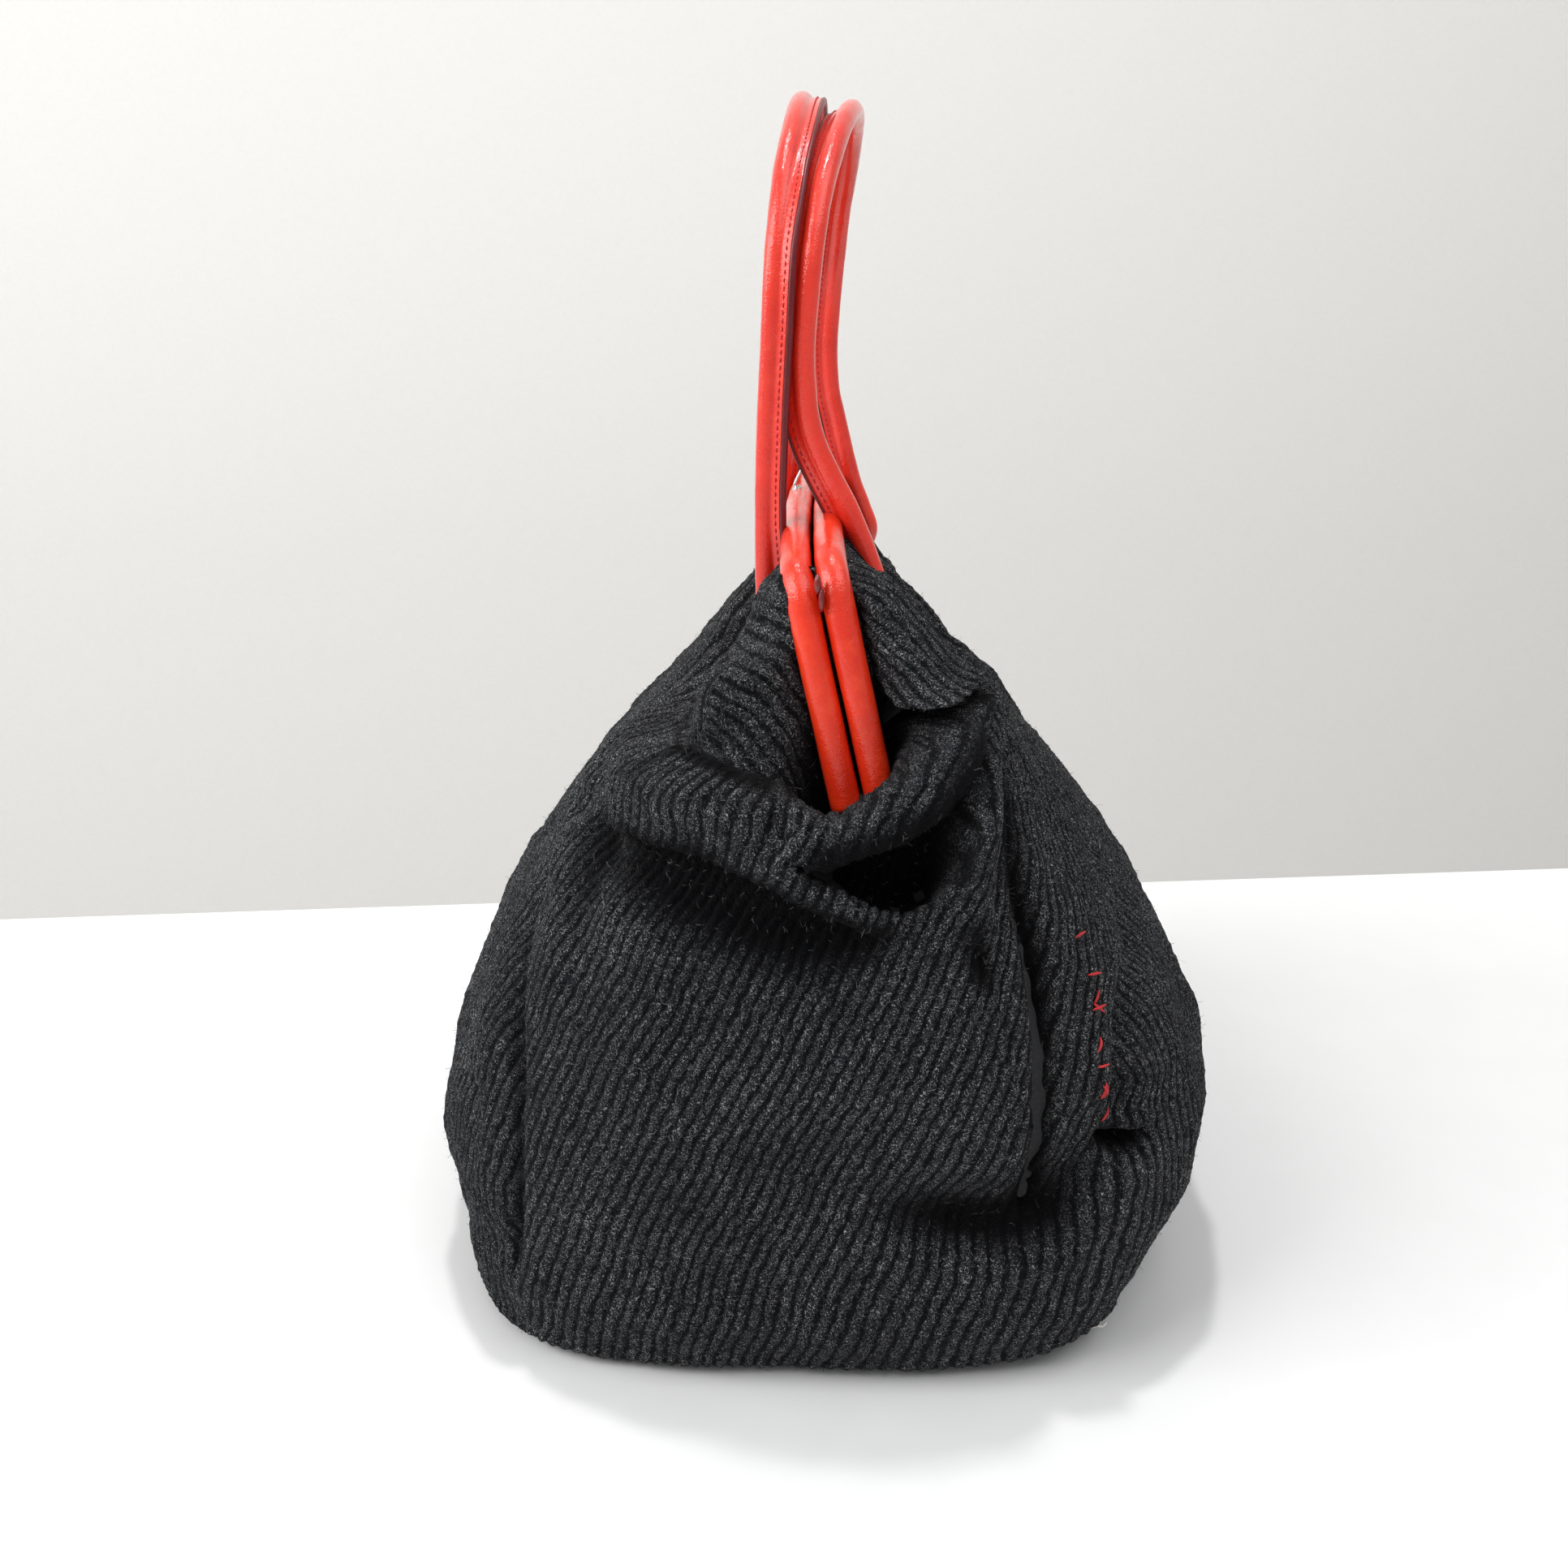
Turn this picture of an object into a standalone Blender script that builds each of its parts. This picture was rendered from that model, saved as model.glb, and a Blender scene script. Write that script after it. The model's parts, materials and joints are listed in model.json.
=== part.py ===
"""Clasp-frame handbag: soft fabric body, two hinged leather-covered frame halves with a ball
clasp, and two rolled leather handles. Metres, +Z up, base on Z = 0, mouth along Y."""

import math

import bmesh
import bpy
from mathutils import Vector

MM = 0.001

# Driving dimensions, millimetres.
HINGE_X, HINGE_Z = 14.0, 212.0       # frame hinge axis, along Y
FRAME_LEAN = math.radians(11.0)      # closed frame leans towards -X
FRAME_RISE = 91.0                    # hinge axis to the middle of the top bar
CORNER_RISE = 83.0                   # hinge axis to the top bar at the corners
FRAME_HALF = 147.0                   # half length of the top bar
HINGE_HALF = 156.0                   # legs spread to this at the hinges
TUBE_R = 5.4                         # leather-covered frame tube
TUBE_OFFSET = 6.0                    # each tube's centre from the frame's middle plane
SLEEVE_BORE_R = 3.5
CORE_R = 2.8
BALL_R = 3.6
HANDLE_R = 5.0
HANDLE_BORE_R = 3.9
CORD_R = 3.4
HANDLE_HALF = 90.0                   # handle legs at Y = +-90
FLANGE_OUT = 8.2                     # flange edge from the handle's centre
SKIN = 2.0                           # fabric thickness
GAP = 0.6                            # clearance between neighbouring skins
LINING_THICK = 1.2
LIP_Z = 217.0                        # top edge of the end panels
COLLAR_Z_FRONT, COLLAR_Z_BACK = 264.0, 266.0
BOARD_THICK = 3.0

# Outer section of the body: height, front x, back x, half length, plan exponent.
STATIONS = (
    (3.0, 138.0, -138.0, 166.0, 3.0),
    (14.0, 150.0, -150.0, 176.0, 3.0),
    (40.0, 157.0, -156.0, 183.0, 3.0),
    (75.0, 160.0, -157.0, 187.0, 3.0),
    (110.0, 152.0, -147.0, 188.0, 2.9),
    (150.0, 129.0, -127.0, 187.0, 2.8),
    (185.0, 104.0, -105.0, 185.0, 2.8),
    (212.0, 84.0, -84.0, 183.0, 3.2),
    (235.0, 64.0, -66.0, 174.0, 4.0),
    (255.0, 44.0, -49.0, 164.0, 5.0),
    (275.0, 26.5, -31.0, 155.0, 6.0),
    (291.0, 15.5, -20.5, 149.0, 8.0),
)

RED = (0.62, 0.035, 0.02, 1.0)
DARK_RED = (0.16, 0.012, 0.012, 1.0)
WOOL = (0.022, 0.022, 0.026, 1.0)
LINING = (0.03, 0.028, 0.03, 1.0)
STEEL = (0.55, 0.55, 0.56, 1.0)
NICKEL = (0.78, 0.77, 0.74, 1.0)
BOARD = (0.16, 0.14, 0.12, 1.0)
CORD = (0.62, 0.58, 0.5, 1.0)


def clear_scene():
    for item in list(bpy.data.objects):
        bpy.data.objects.remove(item, do_unlink=True)


def material(name, colour, roughness, metallic=0.0):
    made = bpy.data.materials.new(name)
    made.use_nodes = True
    shader = made.node_tree.nodes["Principled BSDF"]
    shader.inputs["Base Color"].default_value = colour
    shader.inputs["Roughness"].default_value = roughness
    shader.inputs["Metallic"].default_value = metallic
    made.diffuse_color = colour
    return made


def put(name, mesh, finish, smooth=True):
    """Adds a finished mesh as a node with its own copy of the material."""
    item = bpy.data.objects.new(name, mesh)
    BAG.objects.link(item)
    own = finish.copy()
    own.name = name
    mesh.materials.clear()
    mesh.materials.append(own)
    for face in mesh.polygons:
        face.use_smooth = smooth
    return item


def mesh_of_grid(name, rows, loop=False):
    """An open surface through rows of points, in millimetres."""
    bm = bmesh.new()
    lines = [[bm.verts.new(Vector(point) * MM) for point in row] for row in rows]
    for low, high in zip(lines, lines[1:]):
        count = len(low)
        for i in range(count if loop else count - 1):
            j = (i + 1) % count
            bm.faces.new((low[i], low[j], high[j], high[i]))
    mesh = bpy.data.meshes.new(name)
    bm.to_mesh(mesh)
    bm.free()
    return mesh


def apply_modifiers(item):
    """Replaces the mesh by its evaluated form, so that a later cut works on the finished skin."""
    bpy.context.view_layer.update()
    graph = bpy.context.evaluated_depsgraph_get()
    done = bpy.data.meshes.new_from_object(item.evaluated_get(graph))
    item.modifiers.clear()
    item.data = done
    return item


def shell(name, rows, finish, thickness=SKIN, outwards=True):
    """A skin: the grid is its outer face and the thickness goes inwards."""
    item = put(name, mesh_of_grid(name, rows), finish)
    skin = item.modifiers.new("thickness", "SOLIDIFY")
    skin.thickness = thickness * MM
    skin.offset = -1.0 if outwards else 1.0
    skin.use_even_offset = False
    return apply_modifiers(item)


def lathe_solid(name, profile, finish, steps=16):
    """A turned solid: (radius, height) points spun round Z."""
    bm = bmesh.new()
    made = [bm.verts.new((r * MM, 0.0, h * MM)) for r, h in reversed(profile)]
    for a, b in zip(made, made[1:]):
        bm.edges.new((a, b))
    mesh = bpy.data.meshes.new(name)
    bm.to_mesh(mesh)
    bm.free()
    item = put(name, mesh, finish)
    screw = item.modifiers.new("turn", "SCREW")
    screw.steps = steps
    screw.render_steps = steps
    screw.use_merge_vertices = True
    screw.merge_threshold = 0.00001
    screw.use_normal_calculate = False
    return item


def rod(name, points, radius, finish, resolution=2):
    """A round bar along a path, with filled ends."""
    curve = bpy.data.curves.new(name, "CURVE")
    curve.dimensions = "3D"
    curve.bevel_depth = radius * MM
    curve.bevel_resolution = resolution
    curve.use_fill_caps = True
    line = curve.splines.new("POLY")
    line.points.add(len(points) - 1)
    for slot, point in zip(line.points, points):
        slot.co = (*(Vector(point) * MM), 1.0)
    item = bpy.data.objects.new(name, curve)
    BAG.objects.link(item)
    own = finish.copy()
    own.name = name
    curve.materials.append(own)
    return item


def swept(name, points, sides, section, finish):
    """Carries a closed section along a path. A section point is (along side, across it);
    sides holds the direction that the section's first axis keeps to at each path point."""
    path = [Vector(point) for point in points]
    rows = []
    for i, (point, side) in enumerate(zip(path, sides)):
        ahead = path[min(i + 1, len(path) - 1)] - path[max(i - 1, 0)]
        ahead.normalize()
        first = Vector(side) - ahead * Vector(side).dot(ahead)
        first.normalize()
        second = ahead.cross(first)
        rows.append([point + first * u + second * v for u, v in section])
    mesh = mesh_of_grid(name, rows, loop=True)
    bm = bmesh.new()
    bm.from_mesh(mesh)
    bmesh.ops.holes_fill(bm, edges=[e for e in bm.edges if e.is_boundary], sides=0)
    bmesh.ops.recalc_face_normals(bm, faces=bm.faces)
    bm.to_mesh(mesh)
    bm.free()
    return put(name, mesh, finish)


def cutter(name, item):
    """Moves a helper out of the model and hides it from renders."""
    item.name = name
    for owner in list(item.users_collection):
        owner.objects.unlink(item)
    CUTTERS.objects.link(item)
    item.hide_render = True
    item.display_type = "WIRE"
    return item


def cut(item, tool):
    step = item.modifiers.new("cut", "BOOLEAN")
    step.operation = "DIFFERENCE"
    step.solver = "EXACT"
    step.object = tool


def block(name, low, high, turn=0.0):
    """A box cutter between two corners given about its own centre, turned about Y."""
    bm = bmesh.new()
    bmesh.ops.create_cube(bm, size=1.0)
    size = [(b - a) * MM for a, b in zip(low, high)]
    bmesh.ops.scale(bm, vec=size, verts=bm.verts)
    mesh = bpy.data.meshes.new(name)
    bm.to_mesh(mesh)
    bm.free()
    item = bpy.data.objects.new(name, mesh)
    BAG.objects.link(item)
    item.location = [(a + b) / 2 * MM for a, b in zip(low, high)]
    item.rotation_euler = (0.0, turn, 0.0)
    return cutter(name, item)


# ---- section of the body -------------------------------------------------------------------

def blend_stations(z):
    """Smooth section values at a height, by a cubic through the neighbouring stations."""
    last = len(STATIONS) - 1
    i = max(k for k in range(last) if STATIONS[k][0] <= max(z, STATIONS[0][0]))
    z0, z1 = STATIONS[i][0], STATIONS[i + 1][0]
    t = min(max((z - z0) / (z1 - z0), 0.0), 1.0)
    values = []
    for k in range(1, 5):
        p1, p2 = STATIONS[i][k], STATIONS[i + 1][k]
        p0 = STATIONS[max(i - 1, 0)]
        p3 = STATIONS[min(i + 2, last)]
        m1 = (p2 - p0[k]) / max(z1 - p0[0], 1.0) * (z1 - z0)
        m2 = (p3[k] - p1) / max(p3[0] - z0, 1.0) * (z1 - z0)
        h = (2 * t**3 - 3 * t**2 + 1) * p1 + (t**3 - 2 * t**2 + t) * m1
        values.append(h + (3 * t**2 - 2 * t**3) * p2 + (t**3 - t**2) * m2)
    return values


def middle_x(z):
    """The body's middle plane: upright below the hinge, leaning with the frame above it."""
    if z <= HINGE_Z:
        return HINGE_X * (z / HINGE_Z) ** 2
    return HINGE_X - math.tan(FRAME_LEAN) * (z - HINGE_Z)


def plan_point(z, angle, inset=0.0):
    """A point on the body's plan curve; angle 0 is +X, 90 degrees is +Y."""
    front, back, half, power = blend_stations(z)
    centre = middle_x(z)
    reach = (front - centre if math.cos(angle) >= 0 else centre - back) - inset
    c, s = math.cos(angle), math.sin(angle)
    x = centre + math.copysign(abs(c) ** (2 / power) * reach, c)
    y = math.copysign(abs(s) ** (2 / power) * (half - inset), s)
    return (x, y, z)


SEAM = math.radians(51.0)            # where the panels meet the end gussets, as a plan angle
SEAM_GAP = math.radians(0.35)


def fan(start, end, count):
    return [start + (end - start) * i / (count - 1) for i in range(count)]


def panel_rows(side, levels, inset, count=11):
    """Rows of a front (side 1) or back (side -1) panel, ordered so the grid faces out."""
    rows = []
    for z in levels:
        start, end = -SEAM + SEAM_GAP, SEAM - SEAM_GAP
        extra = inset(z) if callable(inset) else inset
        row = [plan_point(z, a, extra) for a in fan(start, end, count)]
        if side < 0:
            row = [plan_point(z, math.pi + a, extra) for a in fan(start, end, count)]
        rows.append(row)
    return rows


def gusset_rows(side, levels, inset=0.0, count=9):
    centre = math.pi / 2 * side
    half = math.pi / 2 - SEAM - SEAM_GAP
    return [
        [plan_point(z, a, inset) for a in fan(centre - half, centre + half, count)]
        for z in levels
    ]


# ---- frame geometry ------------------------------------------------------------------------

def frame_point(y, s, n):
    """A point of the closed frame: s up the leaning plane from the hinge axis, n across it."""
    return Vector((
        HINGE_X - math.sin(FRAME_LEAN) * s + math.cos(FRAME_LEAN) * n,
        y,
        HINGE_Z + math.cos(FRAME_LEAN) * s + math.sin(FRAME_LEAN) * n,
    ))


def frame_outline(start):
    """(y, s) along one frame half, from the near leg over the bar to the far leg."""
    near = [
        (-HINGE_HALF, start),
        (-HINGE_HALF + 2.6, 26.0),
        (-HINGE_HALF + 5.6, 52.0),
        (-FRAME_HALF + 0.2, 68.0),
        (-FRAME_HALF + 2.4, 74.6),
        (-FRAME_HALF + 6.6, 79.8),
        (-FRAME_HALF + 12.6, CORNER_RISE),
        (-FRAME_HALF + 21.0, CORNER_RISE + 1.3),
    ]
    arch = []
    for y in (-105.0, -75.0, -45.0, -20.0):
        rise = FRAME_RISE - (FRAME_RISE - CORNER_RISE) * (y / FRAME_HALF) ** 2
        arch.append((y, rise))
    half = near + arch
    return half + [(0.0, FRAME_RISE)] + [(-y, s) for y, s in reversed(half)]


def c_section(outer, inner, slit, count=11):
    """A round tube with one narrow slit on its first axis, as a closed outline."""
    a0 = math.asin(slit / outer)
    a1 = math.asin(slit / inner)
    outside = fan(a0, 2 * math.pi - a0, count)
    inside = fan(2 * math.pi - a1, a1, count)
    points = [(outer * math.cos(a), outer * math.sin(a)) for a in outside]
    return points + [(inner * math.cos(a), inner * math.sin(a)) for a in inside]


def flange_section(outer, inner, reach, slit, half_thick, count=10):
    """A rolled handle's leather: a wrap whose two edges run out side by side as a flange."""
    a0 = math.asin(half_thick / outer)
    a1 = math.asin(slit / inner)
    outside = fan(a0, 2 * math.pi - a0, count)
    inside = fan(2 * math.pi - a1, a1, count)
    points = [(outer * math.cos(a), outer * math.sin(a)) for a in outside]
    points += [(reach, -half_thick), (reach, -slit)]
    points += [(inner * math.cos(a), inner * math.sin(a)) for a in inside]
    return points + [(reach, slit), (reach, half_thick)]


# ---- handles -------------------------------------------------------------------------------

# Height and x of each handle's centre line, foot first; the foot is the swing axis.
HANDLE_FRONT = ((289.0, 22.6), (304.0, 16.6), (316.0, 10.8), (328.0, 5.4), (342.0, 1.8),
                (358.0, 1.4), (376.0, 2.4), (398.0, 4.0), (420.0, 5.9), (440.0, 7.8),
                (455.0, 9.2))
HANDLE_BACK = ((289.0, -27.6), (302.0, -24.8), (314.0, -22.6), (342.0, -19.4),
               (370.0, -17.2), (398.0, -15.2), (424.0, -12.6), (440.0, -10.6), (455.0, -9.4))
HANDLE_SKEW = 0.028
ARCH_Z = 372.0                       # the legs start to arch over here
HANDLE_TOP = 455.0


def handle_x(table, z):
    for (z0, x0), (z1, x1) in zip(table, table[1:]):
        if z <= z1:
            t = max((z - z0) / (z1 - z0), 0.0)
            return x0 + (x1 - x0) * t
    return table[-1][1]


def handle_path(table, trim=0.0, legs=8, arch=11):
    """Centre line from the near leg's foot over the arch to the far leg's foot."""
    foot = table[0][0] + trim
    half = [(-HANDLE_HALF, foot + (ARCH_Z - foot) * i / legs) for i in range(legs)]
    turn = []
    for a in fan(0.0, math.pi, arch):
        rise = math.sin(a) ** 0.92
        turn.append((-HANDLE_HALF * math.cos(a), ARCH_Z + (HANDLE_TOP - ARCH_Z) * rise))
    line = half + turn + [(-y, z) for y, z in reversed(half)]
    points = []
    for y, z in line:
        ease = min(max((z - table[0][0]) / 50.0, 0.0), 1.0)
        x = handle_x(table, z) + HANDLE_SKEW * (y + HANDLE_HALF) * ease
        points.append(Vector((x, y, z)))
    return points


def inward_sides(points, lean):
    """Directions to the inside of a handle's loop, turned across it by lean above the feet."""
    centre = Vector((0.0, 0.0, ARCH_Z - 20.0))
    sides = []
    for point in points:
        inside = Vector((0.0, centre.y - point.y, min(centre.z - point.z, 0.0)))
        inside.normalize()
        turn = lean * min((point.z - points[0].z) / 60.0, 1.0)
        sides.append(inside * math.cos(turn) + Vector((math.sin(turn), 0.0, 0.0)))
    return sides


clear_scene()
BAG = bpy.data.collections.new("clasp_frame_handbag")
bpy.context.scene.collection.children.link(BAG)
CUTTERS = bpy.data.collections.new("cutters")
bpy.context.scene.collection.children.link(CUTTERS)

wool = material("wool", WOOL, 0.95)
leather = material("leather", RED, 0.3)
edge_paint = material("edge_paint", DARK_RED, 0.4)
lining_cloth = material("lining_cloth", LINING, 0.8)
steel = material("steel", STEEL, 0.35, 1.0)
nickel = material("nickel", NICKEL, 0.16, 1.0)
fibreboard = material("fibreboard", BOARD, 0.9)
cotton = material("cotton", CORD, 0.9)

# ---- fabric body ---------------------------------------------------------------------------

BODY_LEVELS = (6.0, 20.0, 45.0, 75.0, 108.0, 140.0, 172.0, 200.0)


def tuck(limit_low, limit_high, depth):
    """The panel's top runs in under its collar by this depth between the two heights."""
    def inset(z):
        t = min(max((z - limit_low) / (limit_high - limit_low), 0.0), 1.0)
        return depth * t * t * (3 - 2 * t)
    return inset


shell("panel_front", panel_rows(1, BODY_LEVELS + (220.0, 238.0, 252.0, 263.0),
                                tuck(212.0, 240.0, 8.5)), wool)
shell("panel_back", panel_rows(-1, BODY_LEVELS + (216.0, 230.0, 246.0, 262.0),
                               tuck(198.0, 230.0, 15.0)), wool)
shell("gusset_near", gusset_rows(-1, BODY_LEVELS + (LIP_Z,)), wool)
shell("gusset_far", gusset_rows(1, BODY_LEVELS + (LIP_Z,)), wool)


def plate(name, z_low, z_high, low_inset, high_inset, finish, count=40):
    """A flat slab with the body's plan outline."""
    rows = []
    for z, inset in ((z_low, low_inset), (z_high, high_inset)):
        ring = [plan_point(12.0, 2 * math.pi * i / count, inset) for i in range(count)]
        rows.append([(x, y, z) for x, y, _ in ring])
    mesh = mesh_of_grid(name, rows, loop=True)
    bm = bmesh.new()
    bm.from_mesh(mesh)
    bmesh.ops.holes_fill(bm, edges=[e for e in bm.edges if e.is_boundary], sides=0)
    bmesh.ops.recalc_face_normals(bm, faces=bm.faces)
    bm.to_mesh(mesh)
    bm.free()
    return put(name, mesh, finish, smooth=False)


plate("base_panel", 0.0, SKIN, 12.0, 4.0, wool)
plate("base_board", SKIN + 0.5, SKIN + 0.5 + BOARD_THICK, 14.0, 14.0, fibreboard)

LINING_LEVELS = (10.0, 24.0, 48.0, 80.0, 115.0, 150.0, 190.0)
LINING_INSET = SKIN + 3.0


def lining_basket():
    """An open-topped bag of thin cloth inside the body, with its floor on the base board."""
    count = 36
    floor_z = SKIN + BOARD_THICK + 1.2
    rings = [[plan_point(12.0, 2 * math.pi * i / count, 20.0) for i in range(count)]]
    rings[0] = [(x, y, floor_z) for x, y, _ in rings[0]]
    for z in LINING_LEVELS:
        extra = 6.0 if z < 12 else 0.0
        rings.append([
            plan_point(z, 2 * math.pi * i / count, LINING_INSET + extra) for i in range(count)
        ])
    mesh = mesh_of_grid("lining", rings, loop=True)
    bm = bmesh.new()
    bm.from_mesh(mesh)
    low = [e for e in bm.edges if e.is_boundary and max(v.co.z for v in e.verts) < 0.02]
    bmesh.ops.holes_fill(bm, edges=low, sides=0)
    bmesh.ops.recalc_face_normals(bm, faces=bm.faces)
    bm.to_mesh(mesh)
    bm.free()
    item = put("lining", mesh, lining_cloth)
    skin = item.modifiers.new("thickness", "SOLIDIFY")
    skin.thickness = LINING_THICK * MM
    skin.offset = -1.0
    skin.use_even_offset = False
    return apply_modifiers(item)


lining_basket()

# ---- frame halves --------------------------------------------------------------------------

for side, label in ((1, "front"), (-1, "back")):
    offset = TUBE_OFFSET * side
    outline = frame_outline(9.0)
    path = [frame_point(y, s, offset) for y, s in outline]
    inner = []
    for i, (y, s) in enumerate(outline):
        y0, s0 = outline[max(i - 1, 0)]
        y1, s1 = outline[min(i + 1, len(outline) - 1)]
        along = Vector((y1 - y0, s1 - s0)).normalized()
        inner.append(frame_point(along.y, -along.x, 0.0) - frame_point(0.0, 0.0, 0.0))
    sleeve = swept(f"frame_sleeve_{label}", path, inner,
                   c_section(TUBE_R, SLEEVE_BORE_R, 0.7), leather)

    # The steel core runs on below the leather and carries a lug to the hinge pin at each end.
    low = [(-HINGE_HALF, 3.0)] + frame_outline(11.0)[0:]
    low = low + [(HINGE_HALF, 3.0)]
    core_path = [frame_point(y, s, offset) for y, s in low]
    core = rod(f"frame_core_{label}", core_path, CORE_R, steel)
    bpy.context.view_layer.update()
    graph = bpy.context.evaluated_depsgraph_get()
    solid = bpy.data.meshes.new_from_object(core.evaluated_get(graph))
    bm = bmesh.new()
    bm.from_mesh(solid)
    bmesh.ops.remove_doubles(bm, verts=bm.verts, dist=0.000001)
    bm.to_mesh(solid)
    bm.free()
    bpy.data.objects.remove(core, do_unlink=True)
    core = put(f"frame_core_{label}", solid, steel)
    for end in (-1, 1):
        # Front lugs stand outside the back ones on the shared pin.
        shift = 1.15 * side
        mid = HINGE_HALF + shift
        lug = block(f"lug_{label}_{end}", (-5.0, -0.8, -3.6), (5.0, 0.8, 3.6), 0.0)
        lug.scale = (1.0, 1.0, 1.0)
        lug.location = frame_point(end * mid, 2.0, offset * 0.36) * MM
        lug.rotation_euler = (0.0, -FRAME_LEAN, 0.0)
        hole = lathe_solid(f"pin_hole_{label}_{end}",
                           ((0.0, -4.0), (1.5, -4.0), (1.5, 4.0), (0.0, 4.0)), steel)
        hole.rotation_euler = (math.pi / 2, 0.0, 0.0)
        hole.location = frame_point(end * mid, 0.0, 0.0) * MM
        cutter(hole.name, hole)
        join = core.modifiers.new("lug", "BOOLEAN")
        join.operation = "UNION"
        join.solver = "EXACT"
        join.object = lug
        cut(core, hole)

    # Ball clasp: a seat, a bent post and a ball on each half, side by side along the bar.
    y = 4.4 * side
    tip_n = 0.6 if side > 0 else -4.2
    tip_s = FRAME_RISE + (9.4 if side > 0 else 13.4)
    base = FRAME_RISE + TUBE_R
    hole = rod(f"post_hole_{label}",
               [frame_point(y, FRAME_RISE + 2.0, offset), frame_point(y, base + 3.0, offset)],
               1.5, nickel)
    bpy.context.view_layer.update()
    graph = bpy.context.evaluated_depsgraph_get()
    drill = bpy.data.meshes.new_from_object(hole.evaluated_get(graph))
    bm = bmesh.new()
    bm.from_mesh(drill)
    bmesh.ops.remove_doubles(bm, verts=bm.verts, dist=0.000001)
    bmesh.ops.recalc_face_normals(bm, faces=bm.faces)
    bm.to_mesh(drill)
    bm.free()
    bpy.data.objects.remove(hole, do_unlink=True)
    drill_item = put(f"post_hole_{label}", drill, nickel)
    cut(sleeve, cutter(drill_item.name, drill_item))
    tip = frame_point(y, tip_s, tip_n)
    knee = frame_point(y, base + 2.2, offset)
    foot = frame_point(y, FRAME_RISE + CORE_R + 0.4, offset)
    reach = (tip - knee).normalized()
    rod(f"clasp_post_{label}", [foot, knee, tip - reach * (BALL_R + 0.3)], 1.05, nickel)
    seat = lathe_solid(f"clasp_seat_{label}",
                       ((1.45, 0.0), (2.9, 0.0), (2.9, 0.5), (2.1, 1.3), (1.45, 1.3), (1.45, 0.0)),
                       nickel)
    seat.location = frame_point(y, base + 0.35, offset) * MM
    seat.rotation_euler = (0.0, -FRAME_LEAN, 0.0)
    ball_points = [(BALL_R * math.sin(a), -BALL_R * math.cos(a)) for a in fan(0.0, math.pi, 9)]
    ball_points[0] = (0.0, -BALL_R)
    ball_points[-1] = (0.0, BALL_R)
    ball = lathe_solid(f"clasp_ball_{label}", ball_points, nickel)
    ball.location = tip * MM

for end, label in ((-1, "near"), (1, "far")):
    pin = lathe_solid(f"hinge_pin_{label}",
                      ((0.0, -3.6), (2.4, -3.6), (2.4, -2.7), (1.2, -2.7), (1.2, 2.7),
                       (2.4, 2.7), (2.4, 3.6), (0.0, 3.6)), steel)
    pin.rotation_euler = (math.pi / 2, 0.0, 0.0)
    pin.location = frame_point(end * HINGE_HALF, 0.0, 0.0) * MM

# ---- collars: the gathered fabric fixed to each frame half -----------------------------------

COLLAR_SEAM = math.radians(59.0)
COLLAR_INSET = 3.0
TAB_Z, TAB_THICK = 284.5, 1.4


def on_section(z, side, inset):
    """The point of the skin half way along the bag at a height."""
    x, _, _ = plan_point(z, 0.0 if side > 0 else math.pi, inset)
    return (x, 0.0, z)


def collar_rows(side, levels, inset, spread, count=11):
    rows = []
    for z in levels:
        base = 0.0 if side > 0 else math.pi
        angles = fan(base - spread, base + spread, count)
        rows.append([plan_point(z, a, inset) for a in angles])
    return rows


for side, label, low in ((1, "front", COLLAR_Z_FRONT), (-1, "back", COLLAR_Z_BACK)):
    levels = (low, low + 8.0, low + 15.0, 287.0)
    shell(f"collar_{label}", collar_rows(side, levels, COLLAR_INSET, COLLAR_SEAM), wool)
    shell(f"collar_lining_{label}",
          collar_rows(side, (low + 2.0, low + 10.0, 285.0), COLLAR_INSET + 3.4, COLLAR_SEAM),
          lining_cloth, LINING_THICK)

    # A leather tab lies on the collar under each handle foot.
    for end, place in ((-1, "near"), (1, "far")):
        low_point = Vector(on_section(TAB_Z - 5.0, side, COLLAR_INSET))
        high_point = Vector(on_section(TAB_Z + 5.0, side, COLLAR_INSET))
        slope = high_point - low_point
        face_out = Vector((slope.z, 0.0, -slope.x)).normalized() * side
        centre = (low_point + high_point) / 2 + face_out * (TAB_THICK / 2 + GAP)
        bm = bmesh.new()
        bmesh.ops.create_cube(bm, size=1.0)
        bmesh.ops.scale(bm, vec=(TAB_THICK * MM, 20.0 * MM, 14.0 * MM), verts=bm.verts)
        mesh = bpy.data.meshes.new("tab")
        bm.to_mesh(mesh)
        bm.free()
        tab = put(f"handle_tab_{label}_{place}", mesh, leather, smooth=False)
        tab.location = (centre + Vector((0.0, end * HANDLE_HALF, 0.0))) * MM
        tab.rotation_euler = (0.0, math.atan2(slope.x, slope.z), 0.0)
        soften = tab.modifiers.new("rounded", "BEVEL")
        soften.width = 0.5 * MM
        soften.segments = 2

# ---- handles -------------------------------------------------------------------------------

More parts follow.
